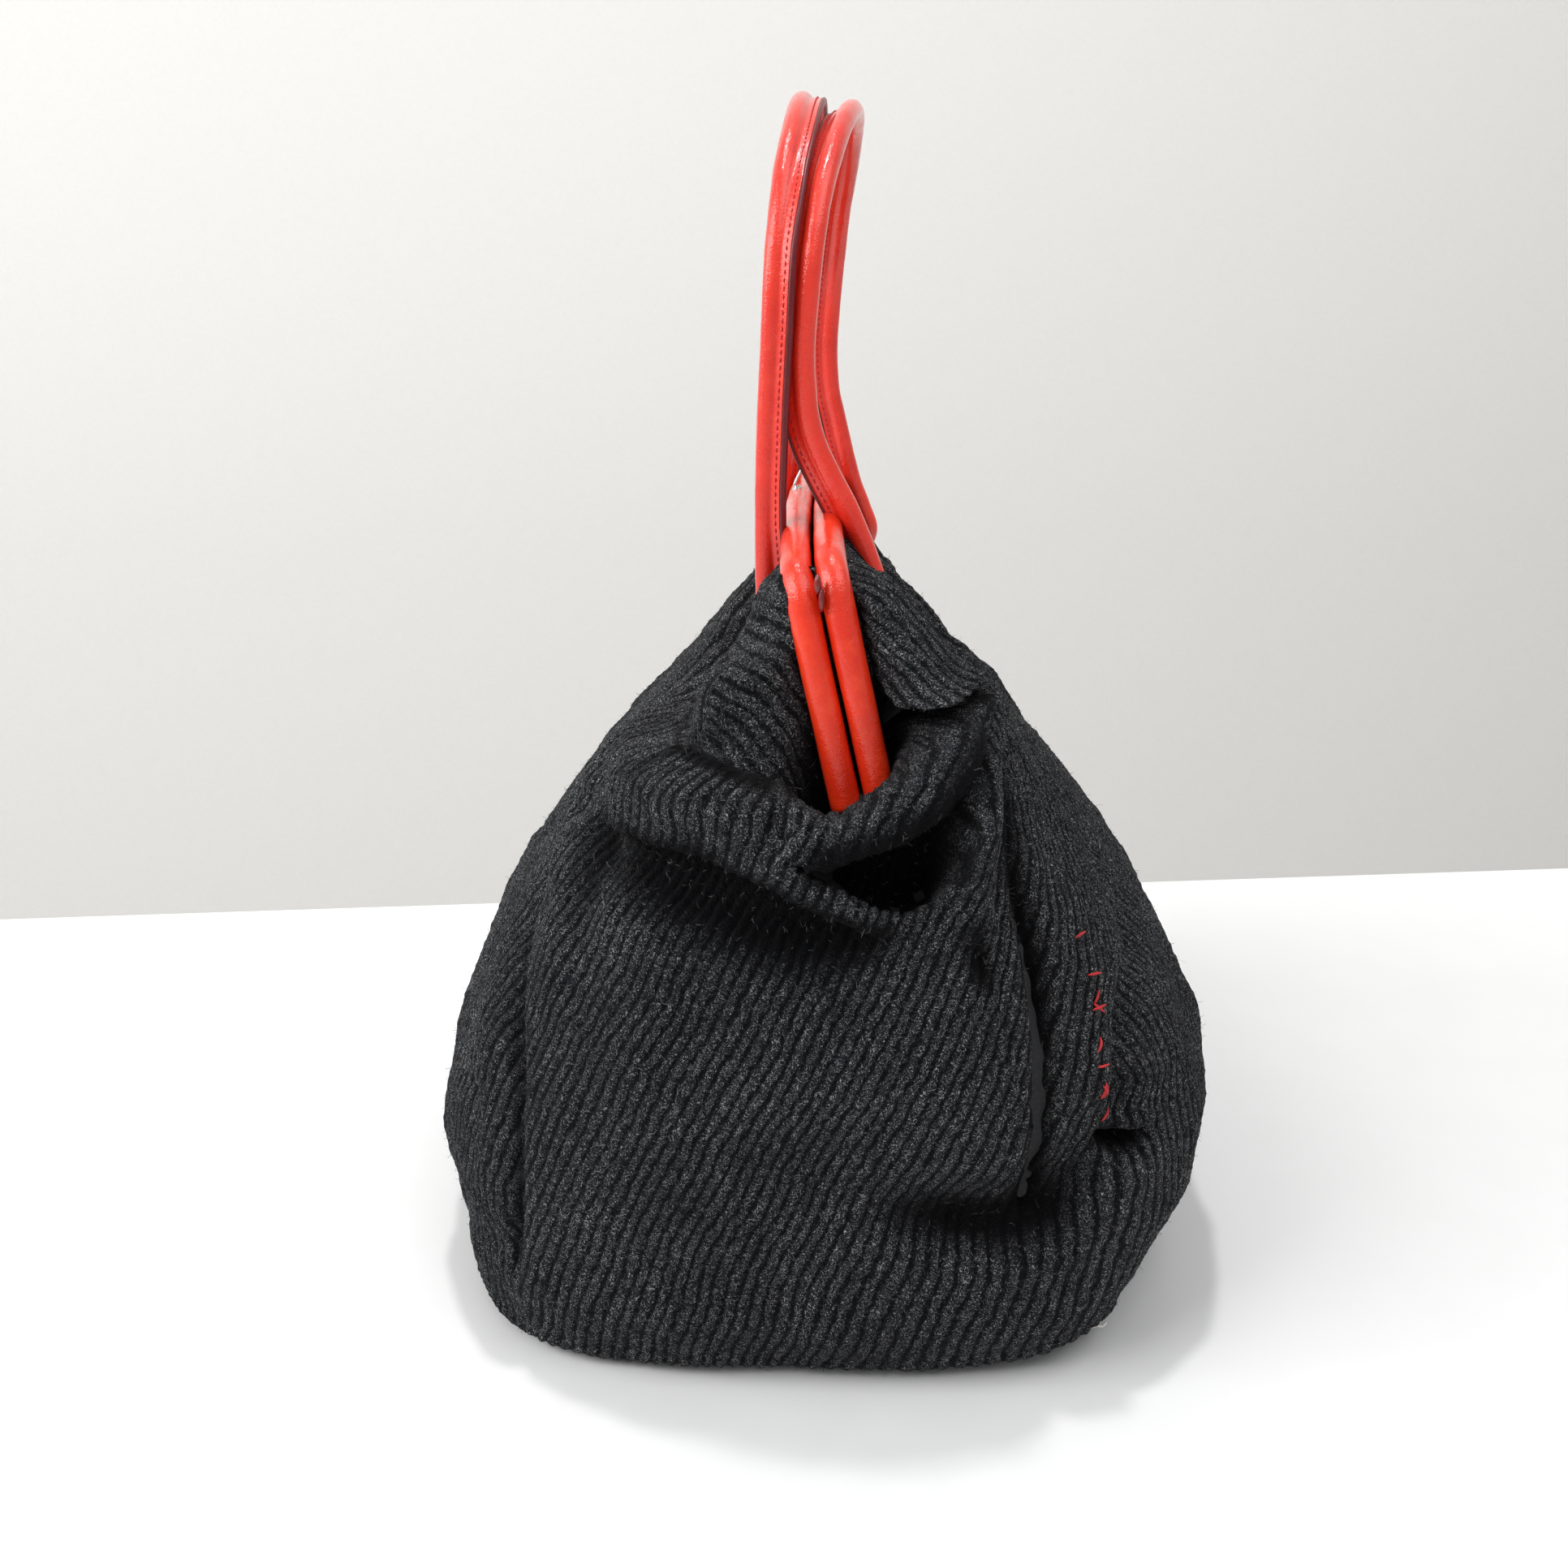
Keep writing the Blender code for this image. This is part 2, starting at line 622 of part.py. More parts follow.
for side, label, table in ((1, "front", HANDLE_FRONT), (-1, "back", HANDLE_BACK)):
    path = handle_path(table)
    # The stitched flanges face each other, turned a little out of the loops.
    sides = inward_sides(path, math.radians(-115.0 * side))
    swept(f"handle_leather_{label}", path, sides,
          flange_section(HANDLE_R, HANDLE_BORE_R, FLANGE_OUT, 0.25, 1.3), leather)
    core_path = handle_path(table, trim=1.0)
    rod(f"handle_cord_{label}", core_path, CORD_R, cotton)
    edge_path = handle_path(table)
    rows = []
    for i, (point, lead) in enumerate(zip(edge_path, sides)):
        ahead = edge_path[min(i + 1, len(edge_path) - 1)] - edge_path[max(i - 1, 0)]
        ahead.normalize()
        first = (lead - ahead * lead.dot(ahead)).normalized()
        rows.append(point + first * (FLANGE_OUT + 0.95))
    swept(f"handle_edge_{label}", rows, sides,
          ((-0.6, -1.3), (0.2, -1.3), (0.5, -0.8), (0.5, 0.8), (0.2, 1.3), (-0.6, 1.3)),
          edge_paint)

# ---- pivots: every moving piece hangs from an empty on its joint's axis -----------------------

def pivot(name, point, parent=None):
    empty = bpy.data.objects.new(name, None)
    empty.empty_display_size = 0.02
    empty.location = Vector(point) * MM
    BAG.objects.link(empty)
    bpy.context.view_layer.update()
    if parent:
        hang(empty, parent)
    return empty


def hang(item, parent):
    """Parents without moving."""
    item.parent = parent
    item.matrix_parent_inverse = parent.matrix_world.inverted()
    bpy.context.view_layer.update()


for label, foot in (("front", HANDLE_FRONT[0]), ("back", HANDLE_BACK[0])):
    frame_pivot = pivot(f"frame_{label}_pivot", frame_point(0.0, 0.0, 0.0))
    handle_pivot = pivot(f"handle_{label}_pivot", (foot[1], 0.0, foot[0]), frame_pivot)
    on_frame = ["frame_core", "frame_sleeve", "clasp_post", "clasp_seat", "clasp_ball",
                "collar", "collar_lining"]
    for stem in on_frame:
        hang(BAG.objects[f"{stem}_{label}"], frame_pivot)
    for place in ("near", "far"):
        hang(BAG.objects[f"handle_tab_{label}_{place}"], frame_pivot)
    for stem in ("handle_leather", "handle_cord", "handle_edge"):
        hang(BAG.objects[f"{stem}_{label}"], handle_pivot)
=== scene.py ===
import json
import math

import bmesh
import bpy
import numpy as np
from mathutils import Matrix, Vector


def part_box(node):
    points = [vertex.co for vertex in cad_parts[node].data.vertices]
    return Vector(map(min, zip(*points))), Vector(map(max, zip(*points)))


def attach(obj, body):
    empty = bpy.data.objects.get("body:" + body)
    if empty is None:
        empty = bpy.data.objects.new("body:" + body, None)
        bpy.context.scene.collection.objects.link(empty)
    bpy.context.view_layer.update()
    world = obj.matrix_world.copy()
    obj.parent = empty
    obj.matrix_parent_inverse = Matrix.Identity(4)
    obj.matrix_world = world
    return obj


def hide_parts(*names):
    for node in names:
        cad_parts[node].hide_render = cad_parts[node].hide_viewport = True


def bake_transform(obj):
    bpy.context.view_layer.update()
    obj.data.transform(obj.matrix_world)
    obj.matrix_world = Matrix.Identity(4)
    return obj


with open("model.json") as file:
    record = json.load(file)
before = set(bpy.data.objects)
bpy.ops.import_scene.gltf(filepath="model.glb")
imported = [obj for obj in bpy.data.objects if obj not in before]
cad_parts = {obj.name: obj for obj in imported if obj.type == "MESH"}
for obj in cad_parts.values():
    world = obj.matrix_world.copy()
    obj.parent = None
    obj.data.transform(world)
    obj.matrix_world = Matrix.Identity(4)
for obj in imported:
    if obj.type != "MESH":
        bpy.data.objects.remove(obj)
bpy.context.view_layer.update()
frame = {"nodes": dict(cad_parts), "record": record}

MM = 0.001
JOINTS = {joint["name"]: joint for joint in frame["record"]["behaviour"]["joints"]}


def joint_place(name):
    return np.array(JOINTS[name]["pos_m"]) / MM


def box_mm(node):
    low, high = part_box(node)
    return np.array(low) / MM, np.array(high) / MM


# ---- the frame's own measurements, millimetres ------------------------------------------------

HINGE = joint_place("frame_front_open")
LEAN = math.radians(11.0)            # the closed frame in the CAD
TUBE_LEAN = math.radians(12.9)       # the covered tubes, as the picture shows them
TUBE_FOOT_X = HINGE[0] + 1.5
TUBE_R = 5.4
TUBE_OFFSET = 6.0                    # each tube's centre from the frame's middle plane
SLEEVE_HIGH = box_mm("frame_sleeve_back")[1]
HINGE_HALF = SLEEVE_HIGH[1] - TUBE_R
FRAME_RISE = (SLEEVE_HIGH[2] - TUBE_R + math.sin(LEAN) * TUBE_OFFSET - HINGE[2]) / math.cos(LEAN)
CORNER_RISE = FRAME_RISE - 8.0
FRAME_HALF = HINGE_HALF - 9.0
HANDLE_HALF = 90.0                   # handle legs at y = +-90
HANDLE_R = 4.1
FLANGE_OUT = 8.0                     # flange edge from the handle's centre


# ---- small mesh helpers -----------------------------------------------------------------------

def new_object(name, mesh, material, smooth=True):
    item = bpy.data.objects.new(name, mesh)
    bpy.context.scene.collection.objects.link(item)
    mesh.materials.append(material)
    if smooth:
        mesh.polygons.foreach_set("use_smooth", np.ones(len(mesh.polygons), bool))
    return item


def mesh_from(name, points, quads):
    mesh = bpy.data.meshes.new(name)
    mesh.from_pydata((np.asarray(points) * MM).tolist(), [], [tuple(q) for q in quads])
    mesh.update()
    return mesh


def grid_quads(rows, cols, loop=False):
    """Faces of a rows x cols grid whose points are stored row by row."""
    index = np.arange(rows * cols).reshape(rows, cols)
    if loop:
        index = np.concatenate([index, index[:, :1]], axis=1)
    a = index[:-1, :-1].ravel()
    b = index[:-1, 1:].ravel()
    c = index[1:, 1:].ravel()
    d = index[1:, :-1].ravel()
    return np.stack([a, b, c, d], axis=1)


def add_float(mesh, name, values):
    layer = mesh.attributes.new(name, "FLOAT", "POINT")
    layer.data.foreach_set("value", np.ascontiguousarray(values, np.float32))


def unit(v):
    return v / np.maximum(np.linalg.norm(v, axis=-1, keepdims=True), 1e-9)


def ease(a, b, x):
    """0 at a and 1 at b, smooth between; a may be above b."""
    t = np.clip((x - a) / (b - a), 0.0, 1.0)
    return t * t * (3.0 - 2.0 * t)


def window(x, a, b, c, d):
    """1 from b to c, easing to 0 at a and at d."""
    return ease(a, b, x) * ease(d, c, x)


def normals_out(mesh):
    bm = bmesh.new()
    bm.from_mesh(mesh)
    bmesh.ops.recalc_face_normals(bm, faces=bm.faces)
    bm.to_mesh(mesh)
    bm.free()


def circle(count):
    """Evenly spaced angles."""
    return np.linspace(0, 2 * math.pi, count, endpoint=False)


def oval(angles, across, up):
    return np.stack([across * np.cos(angles), up * np.sin(angles)], axis=-1)


# ---- body envelope ----------------------------------------------------------------------------

# Height, front x, back x, half length, plan exponent.
STATIONS = np.array((
    (0.0, 133.0, -135.0, 170.5, 4.2),
    (3.0, 140.0, -141.0, 176.0, 4.2),
    (12.0, 146.0, -145.0, 180.5, 4.0),
    (30.0, 150.0, -147.5, 184.0, 3.8),
    (42.0, 153.0, -149.5, 185.0, 3.6),
    (60.0, 158.0, -157.0, 186.5, 3.4),
    (85.0, 159.0, -154.0, 187.5, 3.3),
    (110.0, 151.0, -146.0, 188.0, 3.2),
    (130.0, 142.0, -138.0, 187.5, 3.1),
    (150.0, 129.0, -127.0, 187.0, 3.0),
    (185.0, 105.0, -107.0, 185.0, 2.9),
    (212.0, 84.0, -86.0, 183.0, 3.2),
    (235.0, 65.0, -68.0, 173.0, 4.0),
    (255.0, 46.0, -51.0, 163.0, 5.0),
    (275.0, 27.0, -31.0, 154.0, 6.0),
    (291.0, 15.5, -20.5, 149.0, 8.0),
    (300.0, 9.0, -14.0, 146.0, 8.0),
))
Z_TOP = 300.0

# Towards the far end the shoulders are slimmer: share of the half width left, by height.
SLIM_Z = (150.0, 168.0, 185.0, 212.0, 235.0, 255.0, 275.0, 291.0, 300.0)
SLIM = (1.0, 0.98, 0.95, 0.88, 0.79, 0.68, 0.66, 0.70, 0.80)
# Around the near foot of the back handle the cloth is drawn in above a shelf.
DRAWN_Z = (220.0, 224.0, 229.0, 236.0, 255.0, 275.0, 291.0, 300.0)
DRAWN = (0.0, 0.05, 0.22, 0.35, 0.40, 0.38, 0.34, 0.20)


def station_table():
    """The stations joined by smooth cubics, every half millimetre."""
    z = STATIONS[:, 0]
    fine = np.linspace(0.0, Z_TOP, 601)
    i = np.clip(np.searchsorted(z, fine, side="right") - 1, 0, len(z) - 2)
    h = z[i + 1] - z[i]
    t = (fine - z[i]) / h
    columns = []
    for k in range(1, 5):
        p = STATIONS[:, k]
        m = np.gradient(p, z)
        columns.append(
            (2 * t**3 - 3 * t**2 + 1) * p[i] + (t**3 - 2 * t**2 + t) * h * m[i]
            + (3 * t**2 - 2 * t**3) * p[i + 1] + (t**3 - t**2) * h * m[i + 1]
        )
    return fine, columns


TABLE_Z, TABLE = station_table()


def middle_x(z):
    """The plane between the two halves: upright below the hinge, leaning with the frame above."""
    z = np.asarray(z, float)
    low = HINGE[0] * (z / HINGE[2]) ** 2
    return np.where(z <= HINGE[2], low, HINGE[0] - math.tan(LEAN) * (z - HINGE[2]))


def ring(z, count):
    """One plan curve at a height, as count points evenly spaced along each half.
    It starts in the middle of the near end and runs round the front, far end and back."""
    front, back, half, power = (np.interp(z, TABLE_Z, column) for column in TABLE)
    centre = float(middle_x(z))
    a = np.linspace(-math.pi / 2, math.pi / 2, 1501)
    c, s = np.cos(a), np.sin(a)
    lift = np.abs(c) ** (2 / power)
    y = np.sign(s) * np.abs(s) ** (2 / power) * half
    out, lengths = [], []
    for reach in (front - centre, back - centre):
        x = centre + lift * reach
        run = np.concatenate([[0.0], np.cumsum(np.hypot(np.diff(x), np.diff(y)))])
        want = np.linspace(0.0, run[-1], count // 2 + 1)
        out.append((np.interp(want, run, x), np.interp(want, run, y)))
        lengths.append(run[-1])
    (fx, fy), (bx, by) = out
    x = np.concatenate([fx[:-1], bx[::-1][:-1]])
    y = np.concatenate([fy[:-1], by[::-1][:-1]])
    arc = np.concatenate([
        np.linspace(0.0, lengths[0], count // 2 + 1)[:-1],
        np.linspace(lengths[1], 0.0, count // 2 + 1)[:-1],
    ])
    return x, y, arc, lengths


# ---- folds ------------------------------------------------------------------------------------

def trace(x, z, line):
    """Distance to a line, the side (positive on the left of its direction) and the share there.
    line holds (x, z) or (x, z, share)."""
    line = [(*p, 1.0)[:3] for p in line]
    best = np.full(x.shape, 1e9)
    side = np.zeros(x.shape)
    share = np.zeros(x.shape)
    last = len(line) - 2
    for i, ((x0, z0, h0), (x1, z1, h1)) in enumerate(zip(line, line[1:])):
        dx, dz = x1 - x0, z1 - z0
        size = math.hypot(dx, dz)
        t = np.clip(((x - x0) * dx + (z - z0) * dz) / size**2, 0.0, 1.0)
        d = np.hypot(x - x0 - t * dx, z - z0 - t * dz)
        cross = (dx * (z - z0) - dz * (x - x0)) / size
        # At a shared corner the segment that faces the point more squarely gives the side.
        closer = (d < best - 1e-6) | ((np.abs(d - best) <= 1e-6) & (np.abs(cross) > np.abs(side)))
        best = np.where(closer, d, best)
        side = np.where(closer, cross, side)
        share = np.where(closer, h0 + (h1 - h0) * t, share)
    return best, side, share


def signed(x, z, line):
    best, side, _ = trace(x, z, line)
    return np.where(side >= 0, best, -best)


def stroke(x, z, line, height, left, right, power=2):
    """Height of one fold over points (x, z); left and right are its widths on either side."""
    reach = 2.6 * max(left, right)
    xs = [p[0] for p in line]
    zs = [p[1] for p in line]
    near = ((x > min(xs) - reach) & (x < max(xs) + reach)
            & (z > min(zs) - reach) & (z < max(zs) + reach))
    out = np.zeros_like(x)
    if near.any():
        best, side, share = trace(x[near], z[near], line)
        w = left + (right - left) * ease(1.5, -1.5, side)
        out[near] = height * share * np.exp(-((best / w) ** power))
    return out


CRACK = ((-67, 218), (-52, 229), (-40, 233), (-29, 229), (-18, 225), (-9, 223))
LIP = ((-9, 223), (-2, 218.5), (6, 217), (15, 222), (23, 228), (30, 235), (39, 240.5), (46, 245),
       (53, 248))
LEFT_RIDGE = ((-12, 300), (-13, 288), (-22, 266), (-30, 252), (-40, 235), (-54, 229))
LEFT_LEG = ((-14, 300), (-11, 286), (-6, 267), (1, 243), (7, 216))
RIGHT_LEG = ((9, 300), (13, 277), (18, 252), (25, 222))
PANEL_EDGE = ((17, 290), (16, 272), (19, 261), (25, 252.5), (31, 249.5), (37, 250.5), (45, 252),
              (54, 249))
OUTER_FOLD = ((9, 302), (16, 291), (27, 279), (46, 258), (60, 243))
COWL_LOW = ((-14, 209), (-10, 207), (-3, 205), (14, 208.5), (26, 212.5), (38, 219), (45, 228),
            (50, 239))
ROLL_UP = ((-14, 207), (-9, 204.5), (1, 199), (14, 192), (22, 187), (29, 184.5), (40, 189), (47, 200),
           (51, 216))
ROLL_LOW = ((-82, 203), (-62, 206), (-40, 206), (-26, 201), (-13, 197.5), (1, 190), (14, 184.5), (25, 182),
            (40, 183))
SHADOW_LOW = ((-92, 181), (-70, 182), (-54, 181), (-33, 174), (-6, 167), (14, 168), (27, 175), (42, 182))

# Folds of the pictured end, in the plane of that end: line, height, left width, right
# width. Positive stands out, towards the viewer.
END_FOLDS = (
    # cowl: belly, rolled lip, and the small dimple beside it
    (((-4, 212, .4), (10, 211, .9), (24, 217, 1), (36, 227, 1), (46, 238, .6)), 7, 9, 9),
    (((-8, 219, .6), (6, 213, 1), (15, 218, 1), (24, 225, 1), (33, 233, 1), (45, 242, .6)), 3, 4, 3),
    (((-14, 217), (-12.5, 211)), -5, 3.4, 3.4),
    # rolled swag below the left flap
    (((-84, 204, .3), (-64, 214, .8), (-42, 221, 1), (-28, 216, 1), (-16, 208, 1), (-6, 200, 1),
      (8, 193, .8), (20, 187, .5), (30, 183, .1)), 7.5, 10, 11),
    (((-60, 222, .4), (-44, 229, 1), (-30, 225, 1), (-14, 220, .8)), 2.6, 3, 3),
    # left flap: the ridge beside the inner panel, a second softer ridge outside it
    (((-11, 292, .3), (-14, 283, .8), (-24, 266, 1), (-33, 252, 1), (-46, 238, 1), (-62, 226, .5)),
     7.5, 6, 9),
    (((-30, 272, .4), (-48, 256, 1), (-70, 234, 1), (-88, 214, .4)), 4, 8, 8),
    (((-24, 276, .6), (-38, 260), (-58, 242), (-78, 224, .4)), -4, 5, 5),
    # right panel: rolled lower edge, outer fold, the groove between
    (((17, 268, .4), (21, 257, .9), (27, 254, 1), (35, 253.5, 1), (46, 255, .8)), 5, 3.6, 4.5),
    (((12, 292, .5), (28, 275), (45, 257), (58, 245, .7)), 6, 7, 6),
    (((16, 284, .5), (27, 268), (38, 260), (48, 256, .5)), -3.5, 4, 4),
    (((16, 280, .6), (20, 268), (27, 262, .5)), 2.4, 2.5, 2.5),
    # long vertical ridge, with its notch, and the ridge's soft right shoulder
    (((58, 244, .8), (53, 232, 1), (51, 215, 1), (50, 196, 1), (50, 178, .7), (52, 166, .3)), 7, 7, 9),
    (((51, 174, .6), (53, 169), (55, 164, .6)), -5.5, 4, 4),
    (((62, 236, .5), (61, 215), (60, 190), (61, 170, .4)), -3, 3, 3),
    # right gusset seam valley, the ridge with the stitches, the groove beyond it
    (((66, 212, .3), (69, 190, .8), (74, 162, 1), (77, 140, 1), (77, 100, 1), (77, 72, .7)), -9, 4, 5),
    (((88, 176, .5), (93, 156, 1), (97, 134, 1), (101, 105, .6)), 4.5, 9, 9),
    (((80, 218, .5), (90, 201, 1), (98, 188, 1), (109, 171, .8), (119, 148, .3)), -7, 6, 3),
    (((72, 232, .4), (88, 206, .8), (104, 184, .6)), 4, 5, 7),
    (((121, 156, .6), (112, 145, 1), (106, 123, 1), (108, 100, .8)), -6, 6, 6),
    (((103.5, 97.5, .8), (107, 94, 1), (112, 92, 1), (118, 94, .7)), -13, 2.6, 3.4),
    (((101, 101, .6), (107, 98.5), (115, 98.5, .8)), 4.5, 3, 2.4),
    # hollow above the base, and the base roll
    (((10, 82, .2), (30, 75, .6), (50, 69, 1), (70, 67, 1), (84, 72, 1), (94, 82, 1), (101, 97, .5)),
     -12, 17, 12),
    (((40, 92, .3), (60, 94, .8), (74, 102, .6)), 3.5, 12, 12),
    (((60, 50, .5), (88, 56, 1), (108, 74, .6)), 5, 10, 10),
    (((-105, 34), (-60, 28), (0, 25), (60, 27), (100, 36)), 3.5, 14, 14),
    # left gusset seam and the soft folds near it
    (((-107, 160, .4), (-109, 129, 1), (-108, 88, 1), (-110, 37, 1)), -3, 3.5, 3.5),
    (((-118, 150, .6), (-119, 110), (-119, 70, .5)), 2.5, 7, 7),
    (((-78, 207, .8), (-78, 194, 1), (-82, 170, .5), (-84, 150, .2)), -6, 7, 5),
    (((-96, 200, .4), (-92, 180, 1), (-92, 150, .5)), 4, 9, 7),
    (((-128, 96), (-131, 70, .6)), -3, 5, 5),
    # the full middle of the end
    (((-50, 135), (0, 130), (40, 125)), 5, 42, 42),
    (((-20, 100, .6), (10, 96, 1), (36, 100, .4)), -3, 16, 14),
)

# Points drawn downwards, which makes the cowl, the swag and the panel's edge hang over what is
# below them.
END_DROPS = (
    (((-2, 205, .5), (14, 207, 1), (27, 211, 1), (39, 218, .8)), -2, 5, 5),
    (((-50, 209, .6), (-26, 204, 1), (-13, 200, 1), (1, 193, 1), (14, 187, .8)), -2.5, 6, 7),
    (((21, 257, .8), (28, 254), (40, 255, .8)), -4, 4, 4),
)


# Where hardly any light reaches the near end: line, darkness, left width, right width.
END_SHADOWS = (
    (((66, 212, .5), (69, 190, .9), (74, 162, 1), (77, 140, 1), (77, 100, 1), (77, 74, .9)),
     .95, 4.5, 5.5),
    (((14, 76, .2), (32, 72, .7), (50, 67, 1), (70, 65, 1), (84, 70, 1), (92, 80, .6)), .92, 14, 9),
    (((103, 96), (107, 93), (112, 91.5), (116, 93)), 1.2, 3.4, 4.2),
    (((50, 180, .7), (54, 165, 1), (55, 158, .5)), .95, 5, 6),
    (((-78, 205, .9), (-80, 192, 1), (-84, 168, .5)), .75, 9, 8),
    (((-107, 160, .6), (-109, 129), (-108, 88), (-110, 40)), .55, 3.5, 3.5),
    (((58, 240, .7), (63, 222, 1), (66, 205, .6)), .6, 4, 4),
    (((80, 218, .5), (90, 201, 1), (98, 188, 1), (109, 171, .8)), .7, 6, 3),
    (((-60, 222, .4), (-44, 232.5, 1), (-30, 230, 1), (-16, 225.5, .9)), .8, 3, 2.2),
    (((-24, 276, .5), (-38, 260, .8), (-58, 243, .8), (-78, 226, .4)), .6, 5, 5),
    (((-20, 104, .3), (8, 96, .6), (34, 100, .3)), .45, 16, 14),
)


def fold_height(x, z, folds):
    total = np.zeros_like(x)
    for fold in folds:
        total += stroke(x, z, *fold)
    return total


def pocket_depth(x, z, half):
    """How far the end sinks in where the frame legs stand and in the two hollows below, and the painted
    shade, 0 to 1, in its hollows and folds.
    """
    behind = 148.6 - (z - HINGE[2]) * 0.11
    full = np.maximum(half - behind, 3.0)
    above = ease(-0.8, 3.0, signed(x, z, CRACK + LIP[1:]))
    ridge = signed(x, z, LEFT_RIDGE)
    left_leg = signed(x, z, LEFT_LEG)
    right_leg = signed(x, z, RIGHT_LEG)
    outer = signed(x, z, OUTER_FOLD)
    edge = signed(x, z, PANEL_EDGE)

    in_ridge = np.maximum(ridge, 0.0)
    t = in_ridge / (in_ridge + np.maximum(-left_leg, 0.0) + 0.01)
    left = full * t ** 1.25
    to_leg = np.maximum(right_leg, 0.0)
    t = to_leg / (to_leg + np.maximum(-outer, 0.0) + 0.01)
    panel = full * (1 - ease(0.0, .75, t)) * 0.9
    hollow = full + 20.0 * ease(0.0, 9.0, to_leg)
    right = hollow + (panel - hollow) * ease(-2.2, 1.6, edge)
    depth = np.where(left_leg < 0, left, np.where(right_leg < 0, full, right))
    depth *= above * window(x, -70, -52, 50, 58)

    cowl = signed(x, z, COWL_LOW)
    under = ease(0.0, 2.8, -cowl) * ease(0.0, 3.2, signed(x, z, ROLL_UP))
    under = under * window(x, -16, -6, 45, 53)
    depth += 24.0 * under
    # dark is painted shade: the deep pocket, the hollow under the cowl, the hollow beside the right leg
    # and the listed shadow lines.
    dark = np.maximum(ease(9.0, 26.0, depth), under)
    beside_leg = ease(-1.0, 3.0, to_leg) * ease(2.0, -2.0, edge) * above
    dark = np.maximum(dark, beside_leg * ease(58.0, 50.0, x))
    dark = np.maximum(dark, fold_height(x, z, END_SHADOWS))
    # The cowl turns away from the light towards its lower edge, so its belly gets painted shade there.
    belly = window(cowl, -12, -3, -1, 13)
    dark = np.maximum(dark, 0.95 * belly * window(x, -12, 4, 44, 56))
    # Under the swag roll the cloth sinks in (shade) and gets painted shadow (half_shade).
    below_roll, above_shadow = -signed(x, z, ROLL_LOW), signed(x, z, SHADOW_LOW)
    shade = ease(0, 7, below_roll) * ease(-9, 13, above_shadow) * window(x, -96, -50, 8, 38)
    half_shade = ease(-9, 4, below_roll) * ease(-18, 12, above_shadow)
    half_shade = half_shade * window(x, -108, -46, 14, 46)
    return depth + 10.0 * shade, np.maximum(dark, half_shade)


def trench(x, z):
    """How far the cloth just behind the lip, the crack and the roll drops out of sight."""
    s = signed(x, z, CRACK + LIP[1:])
    deep = 16.0 * window(x, -14, -3, 44, 54) + 3.0
    drop = deep * window(s, 0.3, 2.8, 6, 17) * window(x, -60, -45, 50, 58)
    drop = drop * (1.0 - ease(-3.5, 0.5, signed(x, z, PANEL_EDGE)) * ease(12.0, 16.0, x))
    behind_roll = window(signed(x, z, ROLL_UP), 0.3, 2.6, 5, 14) * window(x, -9, 4, 42, 50)
    return drop + 10.0 * behind_roll * ease(1.0, -3.0, signed(x, z, COWL_LOW))


def side_folds(seed):
    """Gathers under the frame and slack folds lower down, on one long face, over (y, z)."""
    draw = np.random.default_rng(seed)
    folds = []
    for y in np.arange(-128.0, 130.0, 15.0):
        y0 = y + draw.uniform(-4, 4)
        low = draw.uniform(205, 240)
        lean = y0 * 0.14 + draw.uniform(-5, 5)
        height = draw.choice([-1, 1]) * draw.uniform(2.2, 4.2)
        folds.append((((y0, 292, .8), (y0 + lean * .4, 262, 1), (y0 + lean, low, .2)),
                      height, 5.0, 5.0))
    for _ in range(9):
        y0, z0 = draw.uniform(-120, 120), draw.uniform(60, 215)
        dy, dz = draw.uniform(-45, 45), draw.uniform(-40, 12)
        height = draw.choice([-1, 1]) * draw.uniform(1.5, 4.0)
        wide = draw.uniform(8, 15)
        folds.append((((y0, z0, .3), (y0 + dy * .5, z0 + dz * .4, 1), (y0 + dy, z0 + dz, .3)),
                      height, wide, wide * draw.uniform(.5, 1.2)))
    folds.append((((-110, 38), (0, 33), (110, 38)), 2.5, 15, 15))
    return folds


def handle_valleys(near_depth, far_depth, reach):
    """The pleats that the handles' feet hang in; they open towards the ends."""
    return [(((y, 294, .25), (y, 280, .8), (y * 1.01, 266, 1), (y * 1.03, 250, .7),
              (y * 1.06, 228, .2)), -depth, *((reach, 16.0) if y < 0 else (16.0, reach)), 2.6)
            for y, depth in ((-HANDLE_HALF - 6.0, near_depth), (HANDLE_HALF + 6.0, far_depth))]


def blurred(values, across, up):
    """A box blur over a grid that closes round its columns."""
    wide = np.concatenate([values[:, -across:], values, values[:, :across + 1]], axis=1)
    run = np.cumsum(wide, axis=1)
    values = (run[:, 2 * across + 1:] - run[:, :-2 * across - 1]) / (2 * across + 1)
    values = values[:, :wide.shape[1] - 2 * across - 1]
    tall = np.pad(values, ((up + 1, up), (0, 0)), mode="edge")
    run = np.cumsum(tall, axis=0)
    return (run[2 * up + 1:] - run[:-2 * up - 1]) / (2 * up + 1)


# ---- the cloth surface ------------------------------------------------------------------------

COLS = 1600
ROWS = 232
RIB_PITCH = 4.98


def row_heights():
    """Heights of the rows, evenly spaced along the slope and closer where the end folds."""
    z = np.linspace(0.0, Z_TOP, 1201)
    x = np.interp(z, TABLE_Z, TABLE[0])
    weight = np.hypot(1.0, np.gradient(x, z))
    weight = weight * (1.0 + 0.75 * window(z, 160, 180, 250, 275))
    run = np.concatenate([[0.0], np.cumsum((weight[1:] + weight[:-1]) / 2 * np.diff(z))])
    return np.interp(np.linspace(0.0, run[-1], ROWS), run, z)


def bar_place(y):
    """Height and x of the middle of the frame bar over a point along the mouth."""
    s = FRAME_RISE - (FRAME_RISE - CORNER_RISE) * (np.clip(np.abs(y), 0, FRAME_HALF) / FRAME_HALF) ** 2
    return HINGE[2] + math.cos(LEAN) * s, HINGE[0] - math.sin(LEAN) * s


